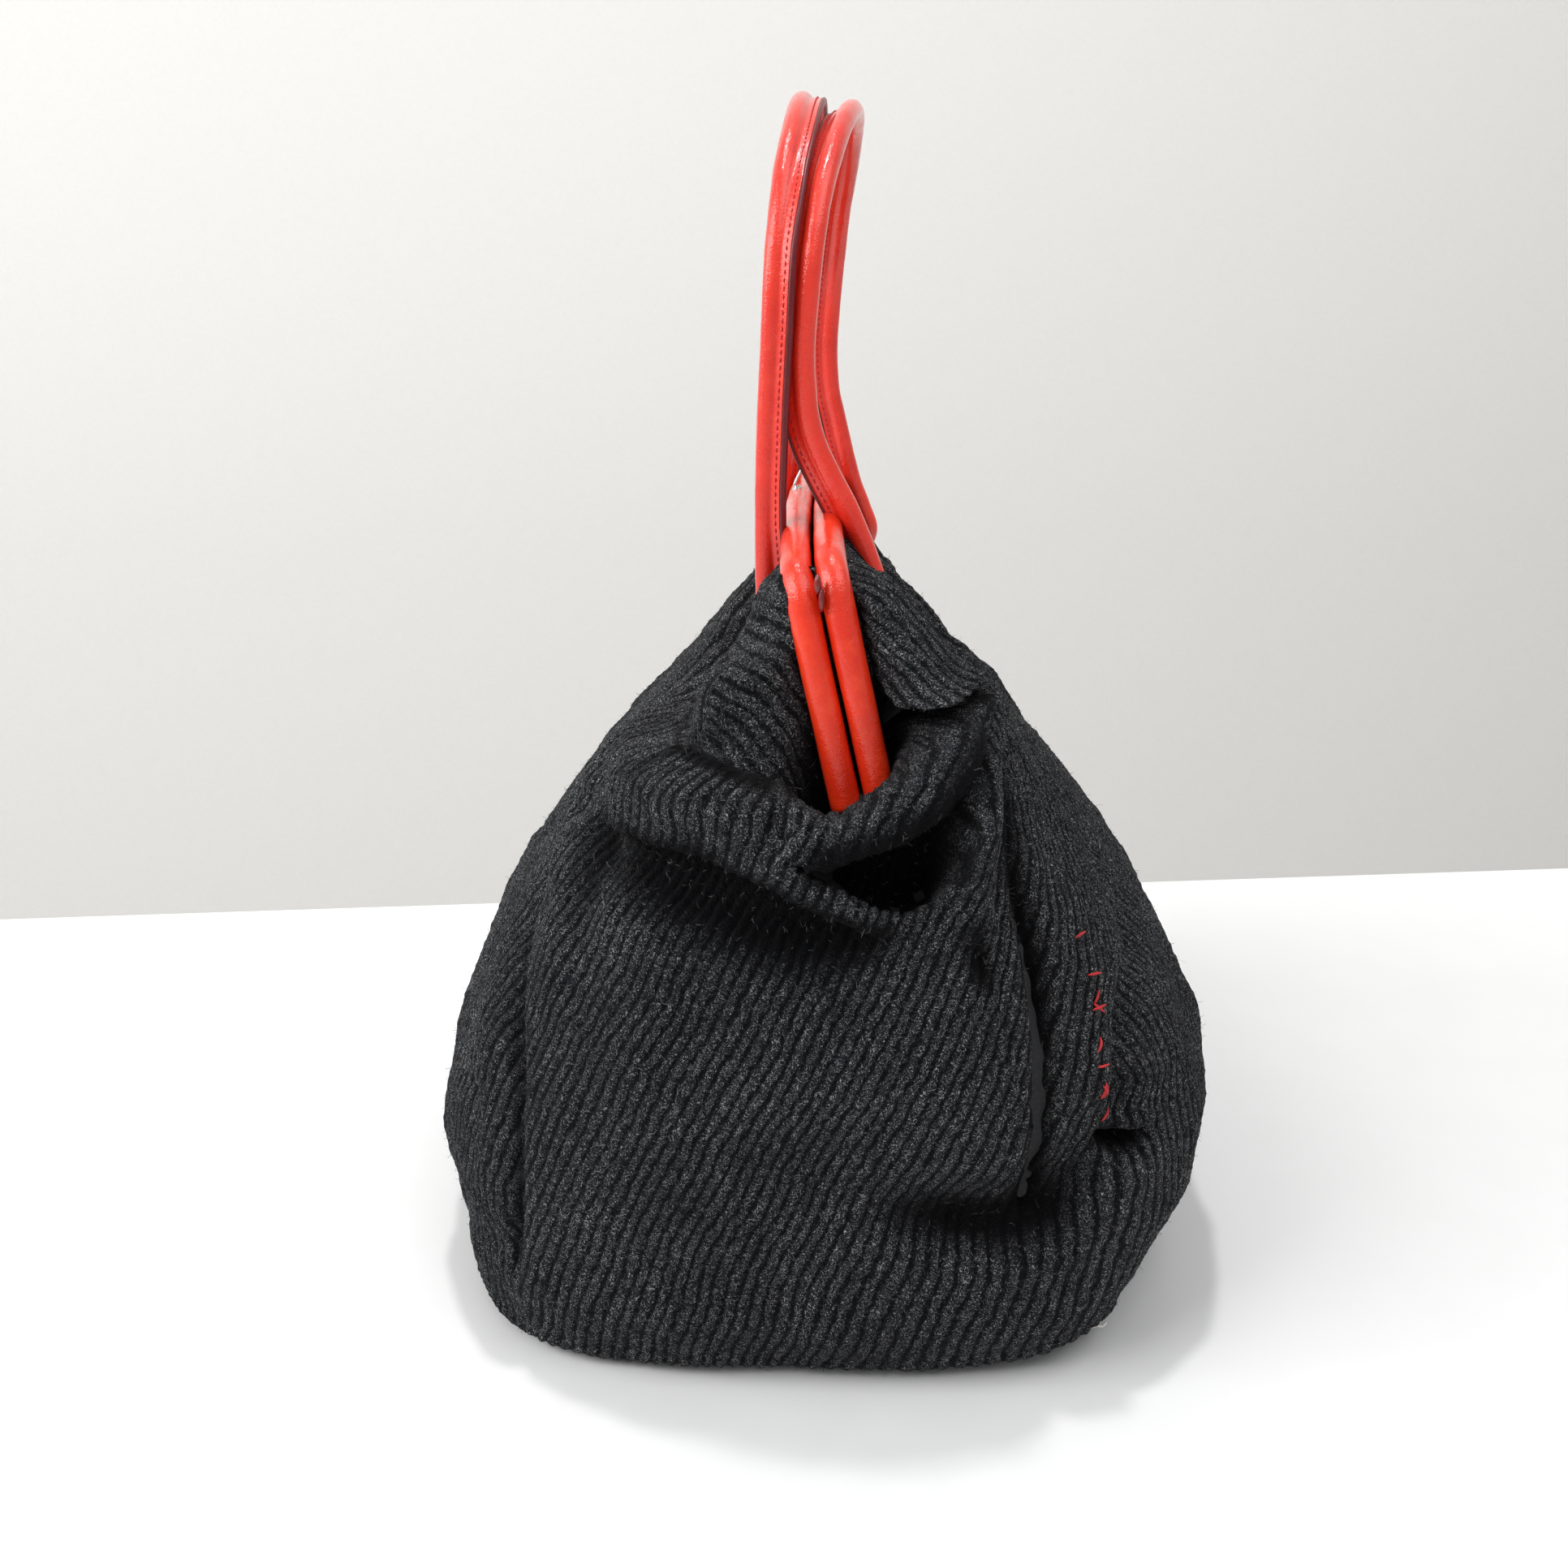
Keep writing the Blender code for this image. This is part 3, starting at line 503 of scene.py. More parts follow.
def grid_normals(p):
    """Normals of a grid closed round its columns; p is rows x cols x 3."""
    across = np.roll(p, -1, axis=1) - np.roll(p, 1, axis=1)
    up = np.gradient(p, axis=0)
    return unit(np.cross(across, up))


def slimmed(x, y, z):
    """The envelope's x with the far shoulders slimmer and the near back corner drawn in."""
    middle = middle_x(z)
    back = x < middle
    along = np.where(back, ease(-125.0, 40.0, y), ease(-100.0, 90.0, y))
    share = 1 - (1 - np.interp(z, SLIM_Z, SLIM)) * along
    tuck = 0.32 * window(z, 200, 232, 262, 290) * ease(20, 100, y)
    near = 1 - ease(-84.0, -46.0, y)
    drawn = np.interp(z, DRAWN_Z, DRAWN) * near * (
        1 - 0.35 * ease(-122.0, -148.0, y) * ease(270.0, 256.0, z))
    wider = 0.12 * window(z, 240, 255, 280, 298) * near
    pleat = 0.50 * np.exp(-(((y + 95.0) / 24.0) ** 2)) * window(z, 232, 254, 286, 299)
    share = share * np.where(back, (1 - drawn) * (1 - pleat), (1 + wider) * (1 - tuck))
    return middle + (x - middle) * share


def body_surface(cols, rows_z):
    rows = len(rows_z)
    base = np.zeros((rows, cols, 3))
    arc = np.zeros((rows, cols))
    total = np.zeros((rows, 2))
    for r, z in enumerate(rows_z):
        x, y, run, lengths = ring(z, cols)
        base[r, :, 0], base[r, :, 1], base[r, :, 2] = x, y, z
        arc[r] = run
        total[r] = lengths
    return base, arc, total


def inside_polygon(x, z, corners):
    inside = np.zeros(x.shape, bool)
    corners = list(corners)
    for (x0, z0), (x1, z1) in zip(corners, corners[1:] + corners[:1]):
        crosses = (z0 > z) != (z1 > z)
        at = x0 + (z - z0) * (x1 - x0) / (z1 - z0 if z1 != z0 else 1e-9)
        inside ^= crosses & (x < at)
    return inside


LEFT_SEAM = ((-104, -5), (-110, 37), (-108, 88), (-109, 129), (-106, 160), (-95, 190), (-80, 210))
RIGHT_SEAM = ((58, 244), (64, 225), (66, 212), (70, 186), (75, 159), (77, 117), (78, 80), (80, -5))
RIGHT_CREASE = ((58, 246), (74, 230), (84, 213), (90, 201), (98, 188), (109, 171), (121, 156),
                (112, 145), (106, 123), (107, 104), (112, 60), (114, -5))


def rib_lean(z):
    """Sideways drift of the end panel's ribs with height: upright below, leaning above."""
    fine = np.linspace(0.0, Z_TOP, 301)
    slope = 0.26 + 0.15 * ease(35, 80, fine) - 0.12 * ease(185, 215, fine)
    run = np.concatenate([[0.0], np.cumsum((slope[1:] + slope[:-1]) / 2 * np.diff(fine))])
    return np.interp(z, fine, run)


def slant(x, z, degrees):
    """Phase of straight ribs that run at an angle in the plane of the end."""
    a = math.radians(degrees)
    return (x * math.sin(a) - z * math.cos(a)) / RIB_PITCH


def rib_profile(phase):
    """Cords side by side with open grooves: 0 in the groove, 1 on the crest."""
    c = 0.5 + 0.5 * np.cos(2 * math.pi * phase)
    return 0.55 * c + 0.45 * ease(0.12, 0.75, c)


def lump(x, y, z, scale, seed, waves=10):
    """Smooth, repeatable irregularity from sums of sines, about -1 to 1."""
    draw = np.random.default_rng(seed)
    total = np.zeros_like(x)
    for _ in range(waves):
        k = draw.normal(size=3)
        k = k / np.linalg.norm(k) * draw.uniform(.6, 1.6) * 2 * math.pi / scale
        total += np.sin(x * k[0] + y * k[1] + z * k[2] + draw.uniform(0, 6.28))
    return total / math.sqrt(waves)


def end_offsets(x, wide_x, y, z, out, half):
    """Both ends: how far the cloth stands out, how much painted shade it gets, and how far it is drawn
    down.
    """
    push, painted_end_shade, drop = np.zeros_like(x), np.zeros_like(x), np.zeros_like(x)
    for side, scale, shift in ((-1.0, 1.0, 0.0), (1.0, 0.97, 2.0)):
        at = side * y > 30.0
        fade = ease(45.0, 95.0, side * y[at])
        facing = np.abs(out[..., 1][at])
        ex, ez = (x if side < 0 else wide_x)[at] * scale, z[at] + shift
        depth, dark = pocket_depth(ex, ez, half[at])
        push[at] = (fold_height(ex, ez, END_FOLDS) - depth * ease(0.04, 0.20, facing)) * fade
        # Painted shade of the end's hollows and folds, only where the cloth faces the end.
        painted_end_shade[at] = dark * fade * ease(0.20, 0.42, facing)
        if side < 0:
            drop[at] = (fold_height(ex, ez, END_DROPS) - trench(ex, ez)) * fade
    return push, painted_end_shade, drop


def side_offsets(x, y, z):
    """The long faces' gathers, slack folds and handle pleats."""
    middle = 1.0 - ease(115.0, 155.0, np.abs(y))
    on_front = x > middle_x(z)
    push = np.zeros_like(x)
    for at, seed, valleys in ((on_front, 11, (6.0, 6.0)), (~on_front, 23, (2.0, 8.0))):
        push[at] = fold_height(y[at], z[at], side_folds(seed)) * middle[at]
        push[at] += fold_height(y[at], z[at], handle_valleys(*valleys, 34.0))
    return push * ease(2.0, 8.0, np.abs(x - middle_x(z)))


def painted_fold_shade(relative, painted_end_shade, y):
    """Painted shade, 0 to 1: how deep each point lies in a fold against the cloth near it and further
    round, joined with the ends' painted shade.
    """
    small = (blurred(relative, 14, 10) - relative - 0.5) / 9.0
    large = (blurred(relative, 40, 26) - relative - 2.0) / 15.0
    deep = np.maximum(np.clip(small, 0, 1), np.clip(large, 0, 1))
    deep = blurred(deep, 3, 2) * (0.4 + 0.6 * ease(95.0, 140.0, np.abs(y)))
    return np.maximum(deep, painted_end_shade)


def settle_base(points, x, y, z):
    """The near right corner of the base is rounded and lifted a little off the table."""
    near = ease(-45.0, -95.0, y)
    points[..., 2] += 7.0 * np.exp(-(((x - 100.0) / 24.0) ** 2)) * near * ease(26.0, 4.0, z)
    rounder = ease(88.0, 140.0, x) * ease(-60.0, -140.0, y) * ease(60.0, 6.0, z)
    points += rounder[..., None] * np.array((-10.0, 6.0, 4.0))
    points[..., 2] = np.maximum(points[..., 2], 0.35)


def tucked_in(points, x, y, z):
    """The top edge runs in under the frame tubes."""
    bar_z, bar_x = bar_place(y)
    blend = ease(279.0, Z_TOP, z)[..., None]
    tube_x = bar_x + np.clip(x - middle_x(z), -TUBE_OFFSET, TUBE_OFFSET)
    tube_y = np.clip(y, -FRAME_HALF + 6, FRAME_HALF - 6)
    target = np.stack([tube_x, tube_y, bar_z - 1.0], axis=-1)
    return points * (1 - blend) + target * blend


def rib_phase(x, y, z, arc, total, heights):
    """The rib each point lies on, by the sewn piece that it belongs to."""
    ends = np.abs(y) > 60
    gusset = inside_polygon(x, z, LEFT_SEAM + CRACK + LIP[1:] + RIGHT_CREASE) & ends
    inner = inside_polygon(x, z, LEFT_RIDGE + CRACK[2:] + LIP[1:3] + LEFT_LEG[::-1]) & ends
    cowl = inside_polygon(x, z, LIP[1:] + COWL_LOW[::-1]) & ends
    front = (np.arange(COLS) <= COLS // 2)[None, :]
    sign = np.where(front, 1.0, -1.0)
    length = np.where(front, total[:, :1], total[:, 1:])
    signed_run = sign * np.where(y < 0, arc, length - arc)
    lean = (rib_lean(z) - rib_lean(120.0)) * np.clip((175.0 - signed_run) / 175.0, 0.0, 1.0)
    phase_end = (signed_run - lean) / RIB_PITCH
    level = np.interp(80.0, heights, total[:, 0])
    side_run = np.where(y < 0, arc - length / 2, length / 2 - arc)
    phase_side = (side_run + level / 2) / RIB_PITCH * sign
    phase = np.where(gusset, phase_end, phase_side)
    join = ease(94.0, 130.0, x) * ease(112.0, 96.0, z) * ends
    phase = np.where(join > 0, phase_end + (phase_side - phase_end) * join, phase)
    phase = np.where(inner, slant(x, z, 132.0), phase)
    phase = np.where(cowl, slant(x, z, 64.0), phase)
    return phase + (lump(x, y, z, 60.0, 9) * 0.16 + lump(x, y, z, 18.0, 12) * 0.06
                    + lump(x, y, z, 7.0, 15) * 0.07)


def rib_relief(x, y, z, phase, run):
    """Height of the ribs over the cloth: knotted cords, with a groove along each seam."""
    left = trace(x, z, LEFT_SEAM[1:])[0]
    right = trace(x, z, RIGHT_SEAM[2:-1])[0]
    groove = np.exp(-((np.minimum(left, right) / 1.8) ** 2)) * ease(60.0, 100.0, np.abs(y))
    knot = 0.14 * np.sin(2 * math.pi * (run / 3.3 + phase * 0.5 + lump(x, y, z, 14.0, 77) * .3))
    relief = rib_profile(phase) * (0.62 + 0.16 * lump(x, y, z, 9.0, 31) + knot)
    relief = relief + 0.16 * lump(x, y, z, 4.5, 41)
    return relief * (1.0 - 0.8 * ease(288, 298, z)) - groove * 1.1


def shape_cloth():
    """The whole body as grids: points, normals, rib phase, run along the ribs, painted shade from the
    depth in folds.
    """
    heights = row_heights()
    base, arc, total = body_surface(COLS, heights)
    wide_x = base[..., 0].copy()
    base[..., 0] = slimmed(wide_x, base[..., 1], base[..., 2])
    x, y, z = base[..., 0], base[..., 1], base[..., 2]
    plan = np.roll(base, -1, axis=1) - np.roll(base, 1, axis=1)
    out = unit(np.stack([plan[..., 1], -plan[..., 0], np.zeros_like(x)], axis=-1))
    half = np.repeat(np.interp(heights, TABLE_Z, TABLE[2])[:, None], COLS, axis=1)

    end_push, painted_end_shade, drop = end_offsets(x, wide_x, y, z, out, half)
    push = lump(x, y, z, 46.0, 3) * 0.9 + lump(x, y, z, 21.0, 5) * 0.35 + end_push
    push_up = side_offsets(x, y, z)
    # deep is painted shade, from how deep the cloth lies in folds and hollows.
    deep = painted_fold_shade(push + push_up, painted_end_shade, y)
    points = base + out * push[..., None]
    points[..., 2] += drop
    points += grid_normals(base) * push_up[..., None]
    settle_base(points, x, y, z)
    points = tucked_in(points, x, y, z)

    phase = rib_phase(x, y, z, arc, total, heights)
    steps = np.linalg.norm(np.diff(base, axis=0), axis=-1)
    run = np.concatenate([np.zeros((1, COLS)), np.cumsum(steps, axis=0)])
    points = points + grid_normals(points) * rib_relief(x, y, z, phase, run)[..., None]
    return points, grid_normals(points), phase, run, deep


def add_ribs(mesh, phase, run, deep):
    """The ribs' phase as sine and cosine, which stay smooth across a seam, the run along them,
    and the painted shade from how deep in a fold the cloth lies."""
    add_float(mesh, "rib_sine", np.sin(2 * math.pi * phase))
    add_float(mesh, "rib_cosine", np.cos(2 * math.pi * phase))
    add_float(mesh, "rib_index", phase)
    add_float(mesh, "run", run)
    # 'deep' holds painted shade, which the wool material mixes towards black.
    add_float(mesh, "deep", deep)


# ---- materials --------------------------------------------------------------------------------

class Nodes:
    """Short wiring for a node material."""

    def __init__(self, name):
        self.material = bpy.data.materials.new(name)
        self.material.use_nodes = True
        self.tree = self.material.node_tree
        self.shader = self.tree.nodes["Principled BSDF"]

    def add(self, kind, **settings):
        node = self.tree.nodes.new(kind)
        for key, value in settings.items():
            if key.startswith("in_"):
                node.inputs[key[3:].replace("_", " ")].default_value = value
            else:
                setattr(node, key, value)
        return node

    def link(self, source, target):
        self.tree.links.new(source, target)

    def math(self, operation, a, b=None, c=None, clamp=False):
        node = self.add("ShaderNodeMath", operation=operation)
        node.use_clamp = clamp
        for slot, value in enumerate((a, b, c)):
            if value is None:
                continue
            if isinstance(value, (int, float)):
                node.inputs[slot].default_value = value
            else:
                self.link(value, node.inputs[slot])
        return node.outputs[0]

    def mix(self, factor, a, b):
        node = self.add("ShaderNodeMix", data_type="RGBA")
        self.link(factor, node.inputs["Factor"])
        for value, slot in ((a, "A"), (b, "B")):
            socket = [s for s in node.inputs if s.name == slot and s.type == "RGBA"][0]
            if isinstance(value, tuple):
                socket.default_value = value
            else:
                self.link(value, socket)
        return [s for s in node.outputs if s.type == "RGBA"][0]

    def noise(self, scale, detail, rough, vector, distortion=0.0):
        node = self.add("ShaderNodeTexNoise", in_Scale=scale, in_Detail=detail,
                        in_Roughness=rough, in_Distortion=distortion)
        self.link(vector, node.inputs["Vector"])
        return node.outputs["Fac"]

    def ramp(self, value, low, high, low_out=0.0, high_out=1.0):
        node = self.add("ShaderNodeMapRange", interpolation_type="SMOOTHSTEP")
        node.inputs["From Min"].default_value = low
        node.inputs["From Max"].default_value = high
        node.inputs["To Min"].default_value = low_out
        node.inputs["To Max"].default_value = high_out
        self.link(value, node.inputs["Value"])
        return node.outputs["Result"]

    def bump(self, height, distance, strength, normal=None):
        node = self.add("ShaderNodeBump", in_Strength=strength, in_Distance=distance)
        self.link(height, node.inputs["Height"])
        if normal is not None:
            self.link(normal, node.inputs["Normal"])
        return node.outputs["Normal"]

    def attribute(self, name):
        return self.add("ShaderNodeAttribute", attribute_name=name).outputs["Fac"]

    def place(self, scale=(1, 1, 1)):
        """Object coordinates, scaled."""
        where = self.add("ShaderNodeTexCoord").outputs["Object"]
        node = self.add("ShaderNodeMapping")
        node.inputs["Scale"].default_value = scale
        self.link(where, node.inputs["Vector"])
        return node.outputs["Vector"]


def wool_material():
    n = Nodes("wool_rib")
    sine, cosine = n.attribute("rib_sine"), n.attribute("rib_cosine")
    index, run = n.attribute("rib_index"), n.attribute("run")
    where = n.place()
    ragged = n.noise(520.0, 3.0, .6, where, .8)
    crest = n.math("MULTIPLY_ADD", cosine, 0.5, 0.5)
    crest = n.math("ADD", crest, n.math("MULTIPLY_ADD", ragged, 1.1, -.50), clamp=True)
    wobble = n.noise(340.0, 2.0, .6, where)
    turn = n.math("ADD", n.math("DIVIDE", run, 3.1), n.math("MULTIPLY", index, 0.5))
    turn = n.math("ADD", turn, n.math("MULTIPLY", wobble, 3.4))
    twist = n.math("ADD", turn, n.math("MULTIPLY", sine, 0.25))
    strand = n.math("SINE", n.math("MULTIPLY", twist, 2 * math.pi))
    strand = n.math("MULTIPLY", n.math("MULTIPLY_ADD", strand, 0.5, 0.5), crest)

    loops = n.add("ShaderNodeTexVoronoi", in_Scale=620.0, in_Randomness=1.0)
    n.link(n.place((1.0, 1.0, 0.8)), loops.inputs["Vector"])
    curl = n.ramp(loops.outputs["Distance"], 0.15, 0.75, 1.0, 0.0)
    fine = n.noise(1700.0, 3.0, .7, where, .8)
    hair = n.noise(950.0, 3.0, .65, where, 2.4)
    patch = n.noise(120.0, 3.0, .6, where)
    broad = n.noise(22.0, 2.0, .5, where)
    fleck = n.ramp(n.noise(700.0, 3.0, .75, where, 3.0), .555, .635)

    # The first colour is only for painted shade; the others are the yarn's own tones.
    painted_shade_black = (0.0009, 0.0011, 0.0018, 1.0)
    dark = (0.0025, 0.0030, 0.0050, 1.0)
    char = (0.0075, 0.0085, 0.0125, 1.0)
    grey = (0.055, 0.057, 0.065, 1.0)
    pale = (0.62, 0.63, 0.62, 1.0)
    colour = n.mix(n.ramp(patch, .36, .64), dark, char)
    colour = n.mix(n.ramp(hair, .46, .72, 0.0, .80), colour, grey)
    colour = n.mix(n.math("MULTIPLY", n.ramp(strand, .35, .95), n.ramp(fine, .38, .66, 0.0, .8)),
                   colour, grey)
    colour = n.mix(n.math("MULTIPLY", curl, n.ramp(fine, .45, .66, 0.0, .75)), colour, grey)
    colour = n.mix(n.math("MULTIPLY", fleck, .92), colour, pale)
    colour = n.mix(n.ramp(broad, .35, .65, 0.0, .30), colour, dark)
    # Painted shade in the grooves between the ribs.
    colour = n.mix(n.ramp(crest, 0.05, .55, .92, 0.0), colour, painted_shade_black)
    # Painted shade in folds and hollows, from the 'deep' attribute.
    colour = n.mix(n.ramp(n.attribute("deep"), 0.10, 0.85, 0.0, .97), colour, painted_shade_black)
    n.link(colour, n.shader.inputs["Base Color"])
    n.link(n.ramp(hair, .3, .7, .86, 1.0), n.shader.inputs["Roughness"])
    n.shader.inputs["Specular IOR Level"].default_value = 0.10
    n.shader.inputs["Sheen Weight"].default_value = 0.03
    n.shader.inputs["Sheen Roughness"].default_value = 0.5
    n.shader.inputs["Sheen Tint"].default_value = (0.75, 0.76, 0.8, 1.0)
    relief = n.math("ADD", n.math("MULTIPLY", crest, .6), n.math("MULTIPLY", strand, .45))
    relief = n.math("ADD", relief, n.math("MULTIPLY", curl, .8))
    normal = n.bump(relief, 0.0012, 0.9)
    normal = n.bump(hair, 0.0012, 0.9, normal)
    normal = n.bump(fine, 0.0005, 0.8, normal)
    n.link(normal, n.shader.inputs["Normal"])
    return n.material


def leather_material(name, base, deep, bright):
    n = Nodes(name)
    where = n.place()
    cloud = n.noise(38.0, 3.0, .55, where)
    mottled = n.noise(120.0, 3.0, .6, where)
    pore = n.add("ShaderNodeTexVoronoi", in_Scale=1500.0)
    n.link(where, pore.inputs["Vector"])
    crease = n.noise(420.0, 4.0, .6, where, .6)
    colour = n.mix(n.ramp(cloud, .28, .60, .45, 1.0), deep, base)
    colour = n.mix(n.ramp(mottled, .5, .78, 0.0, .5), colour, bright)
    n.link(colour, n.shader.inputs["Base Color"])
    n.link(n.ramp(mottled, .3, .7, .26, .40), n.shader.inputs["Roughness"])
    n.shader.inputs["Specular IOR Level"].default_value = 0.25
    n.shader.inputs["Coat Weight"].default_value = 0.75
    n.shader.inputs["Coat Roughness"].default_value = 0.06
    normal = n.bump(crease, 0.0006, 0.35)
    normal = n.bump(pore.outputs["Distance"], 0.0002, 0.35, normal)
    n.link(normal, n.shader.inputs["Normal"])
    n.link(normal, n.shader.inputs["Coat Normal"])
    return n.material


def plain_material(name, colour, roughness, metallic=0.0, grain=400.0, depth=0.0002, vary=.25):
    n = Nodes(name)
    where = n.place()
    cloud = n.noise(grain, 3.0, .6, where)
    dark = tuple(c * (1 - vary) for c in colour[:3]) + (1.0,)
    n.link(n.mix(n.ramp(cloud, .3, .7), dark, colour), n.shader.inputs["Base Color"])
    n.link(n.ramp(cloud, .3, .7, roughness * .85, min(roughness * 1.15, 1.0)),
           n.shader.inputs["Roughness"])
    n.shader.inputs["Metallic"].default_value = metallic
    n.link(n.bump(cloud, depth, .5), n.shader.inputs["Normal"])
    return n.material


WOOL = wool_material()
LEATHER = leather_material("red_leather", (0.84, 0.038, 0.018, 1), (0.64, 0.020, 0.010, 1),
                           (0.92, 0.070, 0.036, 1))
FRAME_LEATHER = leather_material("red_frame_leather", (0.84, 0.036, 0.007, 1),
                                 (0.62, 0.018, 0.005, 1), (0.92, 0.075, 0.018, 1))
LEATHER_DARK = leather_material("dark_red_leather", (0.20, 0.010, 0.010, 1),
                                (0.12, 0.006, 0.008, 1), (0.34, 0.016, 0.014, 1))
EDGE = plain_material("burgundy_edge", (0.17, 0.008, 0.012, 1), .36, grain=300.0)
THREAD = plain_material("red_thread", (0.55, 0.015, 0.02, 1), .6, grain=2500.0)
HAIR = plain_material("wool_hair", (0.17, 0.17, 0.175, 1), .8, grain=300.0, vary=.85)
PALE_THREAD = plain_material("pale_thread", (0.78, 0.76, 0.72, 1), .7, grain=2200.0)
LINING = plain_material("black_lining", (0.012, 0.012, 0.014, 1), .7, grain=900.0)
NICKEL = plain_material("polished_nickel", (0.80, 0.78, 0.74, 1), .14, 1.0, 300.0, .00002, .08)
STEEL = plain_material("plated_steel", (0.5, 0.5, 0.5, 1), .35, 1.0, 500.0, .00005, .15)
BOARD = plain_material("bag_board", (0.16, 0.14, 0.12, 1), .9)


# ---- build: cloth -----------------------------------------------------------------------------

points, normal, phase, run, deep = shape_cloth()
HALF_WAY = COLS // 2
SIDES = (("front", -1.0, 0), ("back", 1.0, HALF_WAY))  # frame half, its way in x when open, column
LINING_GAP = 3.4


def bend_with_frame(item):
    """Bakes the piece's placement into its mesh."""
    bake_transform(item)


def cloth_piece(name, first, last):
    """Columns first to last of the body as one mesh."""
    take = np.arange(first, last + 1) % COLS
    p = points[:, take]
    mesh = mesh_from(name, p.reshape(-1, 3), grid_quads(*p.shape[:2]))
    add_ribs(mesh, *(grid[:, take].ravel() for grid in (phase, run, deep)))
    item = new_object(name, mesh, WOOL)
    mesh.normals_split_custom_set_from_vertices(normal[:, take].reshape(-1, 3).tolist())
    return item


for label, sign, start in SIDES:
    for part in range(2):
        first = start + part * HALF_WAY // 2
        end = ("near", "far")[part if label == "front" else 1 - part]
        piece = cloth_piece(f"wool_{label}_{end}", first, first + HALF_WAY // 2)
        bend_with_frame(piece)
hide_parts("panel_front", "collar_front", "gusset_near")
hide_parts("panel_back", "collar_back")
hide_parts("gusset_far")


def base_piece():
    """The cloth under the bag: rings running in from the body's lower edge."""
    edge = points[0]
    centre = edge.mean(axis=0)
    rings = []
    for t in np.linspace(0.0, 1.0, 60):
        line = edge * (1 - t) + centre * t
        line[:, 2] = edge[:, 2] * (1 - ease(0.0, .12, t)) + 0.25 * ease(0.0, .12, t)
        rings.append(line)
    p = np.array(rings)[:, ::4]
    p[..., 2] = np.maximum(p[..., 2] + 0.1, 0.2)
    mesh = mesh_from("wool_base", p.reshape(-1, 3), grid_quads(*p.shape[:2], loop=True)[:, ::-1])
    ribs = (p[..., 0] / RIB_PITCH).ravel()
    add_ribs(mesh, ribs, p[..., 1].ravel(), np.zeros(ribs.size))
    return new_object("wool_base", mesh, WOOL)


base = base_piece()
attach(base, "bag")
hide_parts("base_panel")


def lining_pieces():
    """A thin inner bag that follows the wool from inside."""
    inner = (points - normal * LINING_GAP)[4:ROWS - 6:4]
    for label, sign, start in SIDES:
        p = inner[:, np.arange(start, start + HALF_WAY + 1, 10) % COLS]
        mesh = mesh_from(f"inner_{label}", p.reshape(-1, 3), grid_quads(*p.shape[:2])[:, ::-1])
        item = new_object(f"inner_{label}", mesh, LINING)
        bend_with_frame(item)
        if label == "front":
            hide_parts("lining", "collar_lining_front")
        else:
            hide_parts("collar_lining_back")


lining_pieces()


def fuzz(label, start, count, seed):
    """Loose hairs that stand off the wool, each a strip of two faces."""
    draw = np.random.default_rng(seed)
    row = draw.integers(3, ROWS - 14, count)
    col = (start + draw.integers(0, HALF_WAY, count)) % COLS
    up = normal[row, col]
    root = points[row, col] + up * 0.1
    side = unit(np.cross(up, draw.normal(size=(count, 3))))
    bend = np.cross(up, side) * draw.normal(size=(count, 1)) * 0.5
    long = 0.8 + draw.gamma(2.0, 0.55, (count, 1))
    rise = draw.uniform(0.10, 0.75, (count, 1))
    wide = np.cross(side, up) * 0.065
    middle = root + (side * .5 + up * rise + bend * .2) * long
    tip = root + (side + up * rise * .9 + bend) * long
    corners = [root - wide, root + wide, middle - wide, middle + wide,
               tip - wide * .4, tip + wide * .4]
    verts = np.stack(corners, axis=1).reshape(-1, 3)
    first = np.arange(count)[:, None] * 6
    quads = np.concatenate([first + (0, 1, 3, 2), first + (2, 3, 5, 4)])
    item = new_object(f"wool_fuzz_{label}", mesh_from(f"wool_fuzz_{label}", verts, quads), HAIR)
    bend_with_frame(item)


for (label, sign, start), seed in zip(SIDES, (41, 43)):
    fuzz(label, start, 5500, seed)


# ---- build: frame and handles -----------------------------------------------------------------

def frame_point(y, s, n):
    y, s, n = np.broadcast_arrays(np.asarray(y, float), s, n)
    return np.stack([
        TUBE_FOOT_X - math.sin(TUBE_LEAN) * s + math.cos(TUBE_LEAN) * n,
        y,
        HINGE[2] + math.cos(TUBE_LEAN) * s + math.sin(TUBE_LEAN) * n,
    ], axis=-1)


def smooth_path(corners, count):
    """A path through points, evenly spaced, by Catmull-Rom."""
    c = np.asarray(corners, float)
    c = np.vstack([2 * c[0] - c[1], c, 2 * c[-1] - c[-2]])
    out = []
    for i in range(1, len(c) - 2):
        t = np.linspace(0, 1, 24, endpoint=False)[:, None]
        p0, p1, p2, p3 = c[i - 1:i + 3]
        out.append(0.5 * (2 * p1 + (p2 - p0) * t + (2 * p0 - 5 * p1 + 4 * p2 - p3) * t**2
                          + (3 * p1 - p0 - 3 * p2 + p3) * t**3))
    fine = np.vstack(out + [c[-2:-1]])
    run = np.concatenate([[0.0], np.cumsum(np.linalg.norm(np.diff(fine, axis=0), axis=1))])
    want = np.linspace(0, run[-1], count)
    return np.stack([np.interp(want, run, fine[:, k]) for k in range(fine.shape[1])], axis=1), want


def sweep(name, path, lead, section, material):
    """Carries a section along a path and closes both ends. The section is rows x points x 2, or
    one for all rows, in (lead, side) axes."""
    ahead = unit(np.gradient(path, axis=0))
    first = unit(lead - ahead * np.sum(lead * ahead, axis=1, keepdims=True))
    second = np.cross(ahead, first)
    section = np.asarray(section)
    if section.ndim == 2:
        section = np.repeat(section[None], len(path), axis=0)
    p = path[:, None] + first[:, None] * section[..., :1] + second[:, None] * section[..., 1:]
    rows, cols = p.shape[:2]
    caps = [range(cols)[::-1], range((rows - 1) * cols, rows * cols)]
    mesh = mesh_from(name, p.reshape(-1, 3), [*grid_quads(rows, cols, loop=True).tolist(), *caps])
    normals_out(mesh)
    return new_object(name, mesh, material), first, second


